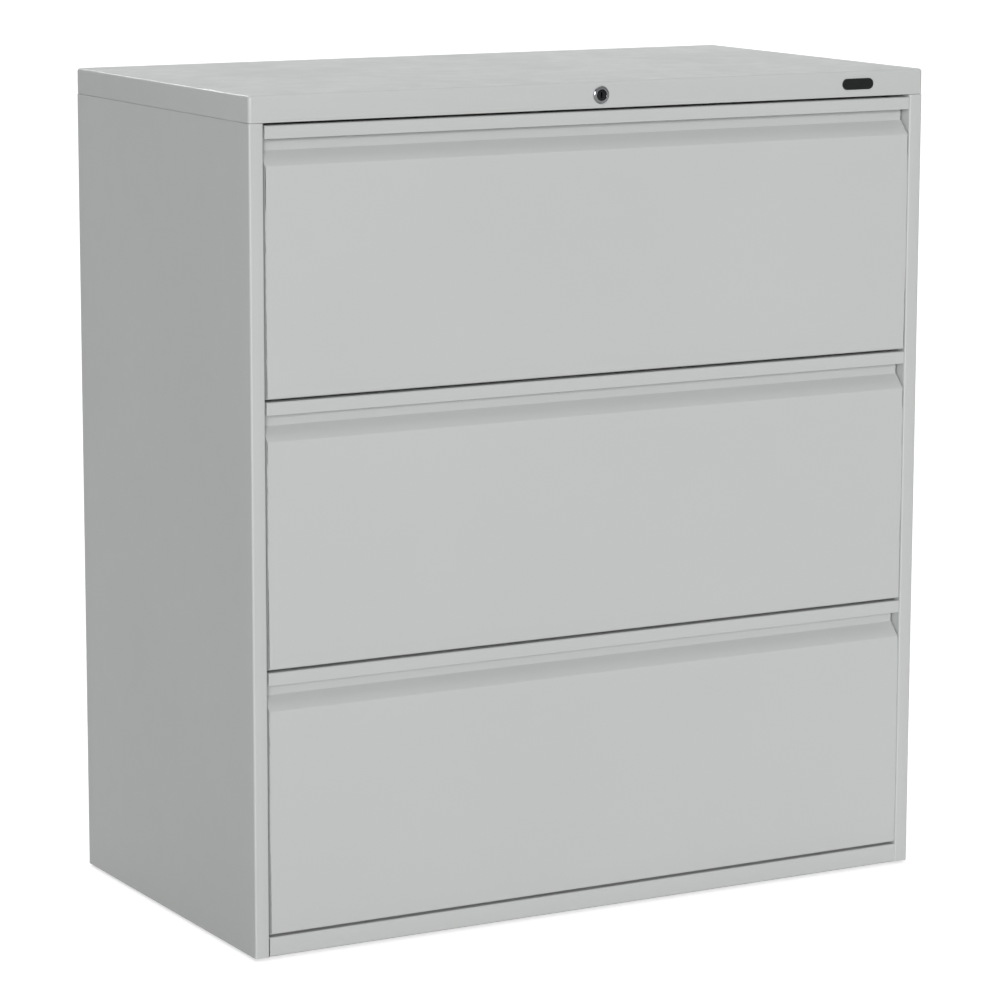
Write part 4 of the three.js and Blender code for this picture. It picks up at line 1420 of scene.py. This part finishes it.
@dataclass
class Lock:
    """Cam lock: domed rim and barrel, and the plug with its key slot."""

    bench: Bench
    bore: float = 6.7 * MM
    rim: float = 10.7 * MM
    barrel: float = 8.5 * MM
    proud: float = 2.5 * MM
    seam: float = 0.3 * MM
    soft: float = 0.35 * MM
    plug: float = 6.4 * MM
    plug_edge: float = 0.3 * MM
    key_width: float = 1.8 * MM
    key_height: float = 7 * MM
    key_depth: float = 9 * MM
    tail: float = 6 * MM
    tail_root: float = 0.1 * MM
    around: int = 64

    def build(self) -> None:
        """Makes both pieces. The rim is a closed profile turned about the lock's line."""
        low, high = box_of("lock_housing")
        centre = (low[[0, 2]] + high[[0, 2]]) / 2
        face, end, soft = low[1], high[1], self.soft
        seat = face + self.proud - self.seam
        profile = np.vstack([
            [[self.bore, end], [self.bore, face + 2 * soft]],
            quarter((self.bore, face + 2 * soft), (self.bore + soft, face), -1, 5)[1:],
            quarter((self.bore + 1.5 * soft, face), (self.rim, seat - 1.2 * soft), 1, 12),
            [[self.rim, seat - soft], [self.rim - soft, seat]],
            [[self.barrel, seat], [self.barrel, end]],
        ])
        skin = turned(profile, centre, Axis.Y, self.around, True)
        # The rim's lowered chrome colour paints its reflections darker.
        self.bench.put("lock_rim", skin, Look.CHROME, "lock_housing")
        self._plug(centre, end)

    def _plug(self, centre: Array, end: float) -> None:
        """Makes the plug: a body with a blind key slot, and a square tail.

        The slot's rings and the plug's rings share their angles. A ray at angle a leaves the
        slot after the lesser of half its width over cos a and half its height over sin a.

        Args:
            centre: the lock's (x, z).
            end: y of the barrel's end.
        """
        low, high = box_of("lock_plug")
        face, soft = low[1], self.plug_edge
        lean = math.atan2(self.key_height, self.key_width)
        sides = (-lean, lean, math.pi - lean, math.pi + lean, 2 * math.pi - lean)
        count = self.around // 4
        unit = unit_ring(np.linspace(sides[:-1], sides[1:], count, False).T.ravel())
        half = np.array([self.key_width, self.key_height]) / 2
        slot = unit * np.min(half / np.maximum(np.abs(unit), MM), axis=1)[:, None]
        rounding = quarter((self.plug - soft, face), (self.plug, face + soft), 1, 4)
        flats = [(slot, face + self.key_depth), (slot, face + soft)]
        flats += [(slot * (1 + soft / half), face)]
        flats += [(unit * radius, y) for radius, y in [*rounding, (self.plug, end)]]
        body = lofted(np.stack([Axis.Y.place(centre + flat, y) for flat, y in flats]))
        square = centre + rectangle(-1, 1, -1, 1) * self.tail / 2
        tail = plate([square], end - self.tail_root, high[1], Axis.Y)
        # The plug's near-black chrome colour is painted dark reflection.
        self.bench.put("lock_plug_face", together(body, tail), Look.SMOKED, "lock_plug")


@dataclass
class HeaderPlate:
    """Blank oval plate: a stadium with a raised rim and a flat field."""

    bench: Bench
    rim: float = 0.9 * MM
    slope: float = 0.4 * MM
    field: float = 0.35 * MM
    edge: float = 0.45 * MM
    edge_height: float = 0.5 * MM
    points: int = 24

    def build(self) -> None:
        """Makes the plate: a stadium carried along a profile of insets and depths."""
        low, high = box_of("header_plate")
        centre, (width, height) = (low + high)[[0, 2]] / 2, (high - low)[[0, 2]]
        face, back = low[1], high[1]
        edge = quarter((0.0, back - self.edge_height), (self.edge, face), -1, 5)
        slope = quarter((self.rim, face), (self.rim + self.slope, face + self.field), 1, 4)
        rings = []
        for inset, y in np.vstack([[[0.0, back]], edge, slope]):
            ring = stadium(centre, width - 2 * inset, height - 2 * inset, self.points)
            rings.append(Axis.Y.place(ring, y))
        skin = lofted(np.stack(rings))
        self.bench.put("header_plate_oval", skin, Look.PLASTIC, "header_plate")


@dataclass
class Glide:
    """Screw glide: a turned foot under a threaded stem."""

    bench: Bench
    place: str
    foot: float = 14 * MM
    foot_height: float = 4 * MM
    cone: float = 7 * MM
    stem: float = 4 * MM
    thread: float = 1.25 * MM
    thread_depth: float = 0.5 * MM
    soft: float = 0.8 * MM
    around: int = 40

    def build(self) -> None:
        """Makes the glide: a turned profile, its thread in and out at every half pitch."""
        node = f"{self.place}_glide"
        low, high = box_of(node)
        centre, ground, top = (low[:2] + high[:2]) / 2, low[2], high[2]
        soft, shoulder = self.soft, self.foot_height
        turns = np.arange(self.cone + self.thread, top - self.thread, self.thread / 2)
        ridge = np.where(np.arange(len(turns)) % 2, self.stem, self.stem - self.thread_depth)
        profile = np.vstack([
            quarter((self.foot - soft, ground), (self.foot, ground + soft), 1, 4),
            quarter((self.foot, shoulder - soft), (self.foot - soft, shoulder), -1, 4),
            [[self.stem, self.cone]],
            np.column_stack([ridge, turns]),
            [[self.stem - soft, top]],
        ])
        skin = turned(profile, centre, Axis.Z, self.around)
        self.bench.put(f"{node}_turned", skin, Look.ZINC, node)


@dataclass
class KeptPieces:
    """Pieces inside the case that keep the frame's own shapes."""

    bench: Bench
    edge: float = 0.2 * MM
    cast_edge: float = 1.0 * MM

    def build(self) -> None:
        """Gives each one its finish."""
        zinc = ["lock_nut", "lock_cam", "lock_rod", "interlock_bar"]
        zinc += [f"{corner}_post" for corner in CORNERS] + [f"{d}_lock_catch" for d in DRAWERS]
        for node in zinc:
            self.bench.keep(node, Look.ZINC, self.edge)
        for node in ("header_channel", "bottom_panel"):
            self.bench.keep(node, Look.POWDER, self.edge)
        self.bench.keep("counterweight", Look.RAW, self.cast_edge)


class Cabinet:
    """The whole cabinet."""

    def __init__(self) -> None:
        """Lists its sub-assemblies."""
        bench, sheet = Bench(Palette()), Sheet()
        self.parts = [TopCap(bench, sheet), BackPanel(bench, sheet), BaseRail(bench, sheet)]
        self.parts += [SidePanel(bench, sheet, hand) for hand in Hand]
        for name in DRAWERS:
            self.parts += [DrawerFront(bench, sheet, name), DrawerTray(bench, sheet, name)]
            self.parts += [HangingRail(bench, name, place) for place in ("front", "rear")]
            self.parts += [Slide(bench, name, hand) for hand in Hand]
        self.parts += [Lock(bench), HeaderPlate(bench), KeptPieces(bench)]
        self.parts += [Glide(bench, corner) for corner in CORNERS]

    def build(self) -> None:
        """Builds every sub-assembly in turn."""
        for part in self.parts:
            part.build()


# Studio


@dataclass(frozen=True)
class Lamp:
    """A soft lamp so far off that its light falls evenly.

    Attributes:
        name: the lamp's name.
        way: direction from the cabinet to the lamp.
        spread: angle that the lamp fills, in degrees.
        gain: brightness of a white card that faces it.
    """

    name: str
    way: tuple[float, float, float]
    spread: float
    gain: float

    def build(self) -> None:
        """Hangs the lamp. A white card under an even light of strength pi has brightness 1."""
        data = bpy.data.lights.new(self.name, "SUN")
        data.angle = math.radians(self.spread)
        data.energy = self.gain * math.pi
        lamp = bpy.data.objects.new(self.name, data)
        bpy.context.scene.collection.objects.link(lamp)
        lamp.matrix_world = (-Vector(self.way)).to_track_quat("-Z", "Y").to_matrix().to_4x4()


@dataclass(frozen=True)
class Patch:
    """A soft patch of the sky, brighter or darker than the rest.

    Attributes:
        way: direction to its middle.
        reach: angle from its middle to its edge, in degrees.
        gain: what it adds in its middle.
    """

    way: tuple[float, float, float]
    reach: float
    gain: float


@dataclass
class Studio:
    """Floor, light and camera.

    Attributes:
        target: point on the camera's line of sight.
        azimuth: camera's turn round the object, in degrees.
        elevation: its height above the horizon, in degrees.
        roll: its tilt about the line of sight, in degrees.
        distance: from the target.
        lens: focal length over the width of the picture.
        horizon: sky brightness at the sides.
        tint: colour of the sky.
        patches: patches of the sky: overhead, a dark flag at the left, and low behind.
        lamps: a broad lamp beside the camera, and a rim lamp.
        floor_radius: reach of the floor.
        white: share of light that the floor sends back.
        glow: brightness that keeps the floor white in the picture, and lights nothing.
    """

    target: tuple[float, float, float] = (0.00063, 0.00125, 0.46732)
    azimuth: float = -29.191
    elevation: float = 10.223
    roll: float = 0.138
    distance: float = 5.0928
    lens: float = 4.09187
    horizon: float = 0.36
    tint: tuple[float, float, float] = (0.988, 1.0, 0.998)
    patches: tuple[Patch, ...] = (
        Patch((0.0, 0.12, 0.99), 42.0, 1.2),
        Patch((-1.0, -0.1, 0.25), 70.0, -0.35),
        Patch((0.5, 0.85, 0.18), 42.0, 0.75),
    )
    lamps: tuple[Lamp, ...] = (
        Lamp("front_lamp", (-0.49, -0.87, 0.18), 20.0, 0.91),
        Lamp("rim_lamp", (-0.03, 0.86, 0.5), 6.0, 0.15),
    )
    floor_radius: float = 60.0
    white: float = 0.58
    glow: float = 0.64

    def build(self) -> None:
        """Sets the stage."""
        bpy.context.scene.view_settings.view_transform = "Standard"
        self._floor()
        self._sky()
        for lamp in self.lamps:
            lamp.build()
        self._camera()

    def _floor(self) -> None:
        """A wide pale disc, whose glow only the camera sees."""
        outline = Axis.Z.place(circle((0, 0), self.floor_radius, 96), 0.0)
        mesh = bpy.data.meshes.new("floor")
        mesh.from_pydata(outline.tolist(), [], [list(range(len(outline)))])
        material = bpy.data.materials.new("pale_floor")
        material.use_nodes = True
        shader = material.node_tree.nodes["Principled BSDF"]
        settings = {
            "Base Color": (self.white, self.white, self.white, 1),
            "Roughness": 0.9,
            "Specular IOR Level": 0.1,
            "Emission Color": (1, 1, 1, 1),
        }
        for name, value in settings.items():
            shader.inputs[name].default_value = value
        tree = Tree(material.node_tree)
        seen = tree.add("ShaderNodeLightPath").outputs["Is Camera Ray"]
        tree.feed(shader.inputs["Emission Strength"], tree.math("MULTIPLY", seen, self.glow))
        mesh.materials.append(material)
        floor = bpy.data.objects.new("floor", mesh)
        bpy.context.scene.collection.objects.link(floor)

    def _sky(self) -> None:
        """A dim sky, to which each patch adds by the angle from its middle."""
        world = bpy.data.worlds.new("studio_sky")
        world.use_nodes = True
        bpy.context.scene.world = world
        tree = Tree(world.node_tree)
        way = tree.add("ShaderNodeTexCoord").outputs["Generated"]
        level = self.horizon
        for patch in self.patches:
            nearness = tree.dot(way, Vector(patch.way).normalized())
            edge = math.cos(math.radians(patch.reach))
            level = tree.math("ADD", tree.ramp(nearness, edge, 1.0, 0.0, patch.gain), level)
        background = world.node_tree.nodes["Background"]
        background.inputs["Color"].default_value = (*self.tint, 1)
        tree.feed(background.inputs["Strength"], level)

    def _camera(self) -> None:
        """The camera of the photograph."""
        data = bpy.data.cameras.new("camera")
        data.lens = self.lens * data.sensor_width
        data.clip_end = 200.0
        camera = bpy.data.objects.new("camera", data)
        bpy.context.scene.collection.objects.link(camera)
        turn, rise = math.radians(self.azimuth), math.radians(self.elevation)
        level = math.cos(rise)
        back = Vector((math.sin(turn) * level, -math.cos(turn) * level, math.sin(rise)))
        facing = (-back).to_track_quat("-Z", "Y").to_matrix().to_4x4()
        tilt = Matrix.Rotation(math.radians(self.roll), 4, "Z")
        spot = Matrix.Translation(Vector(self.target) + back * self.distance)
        camera.matrix_world = spot @ facing @ tilt
        bpy.context.scene.camera = camera


def main() -> None:
    """Builds the cabinet and its studio."""
    Cabinet().build()
    Studio().build()
    bpy.context.view_layer.update()


if __name__ == "__main__":
    main()
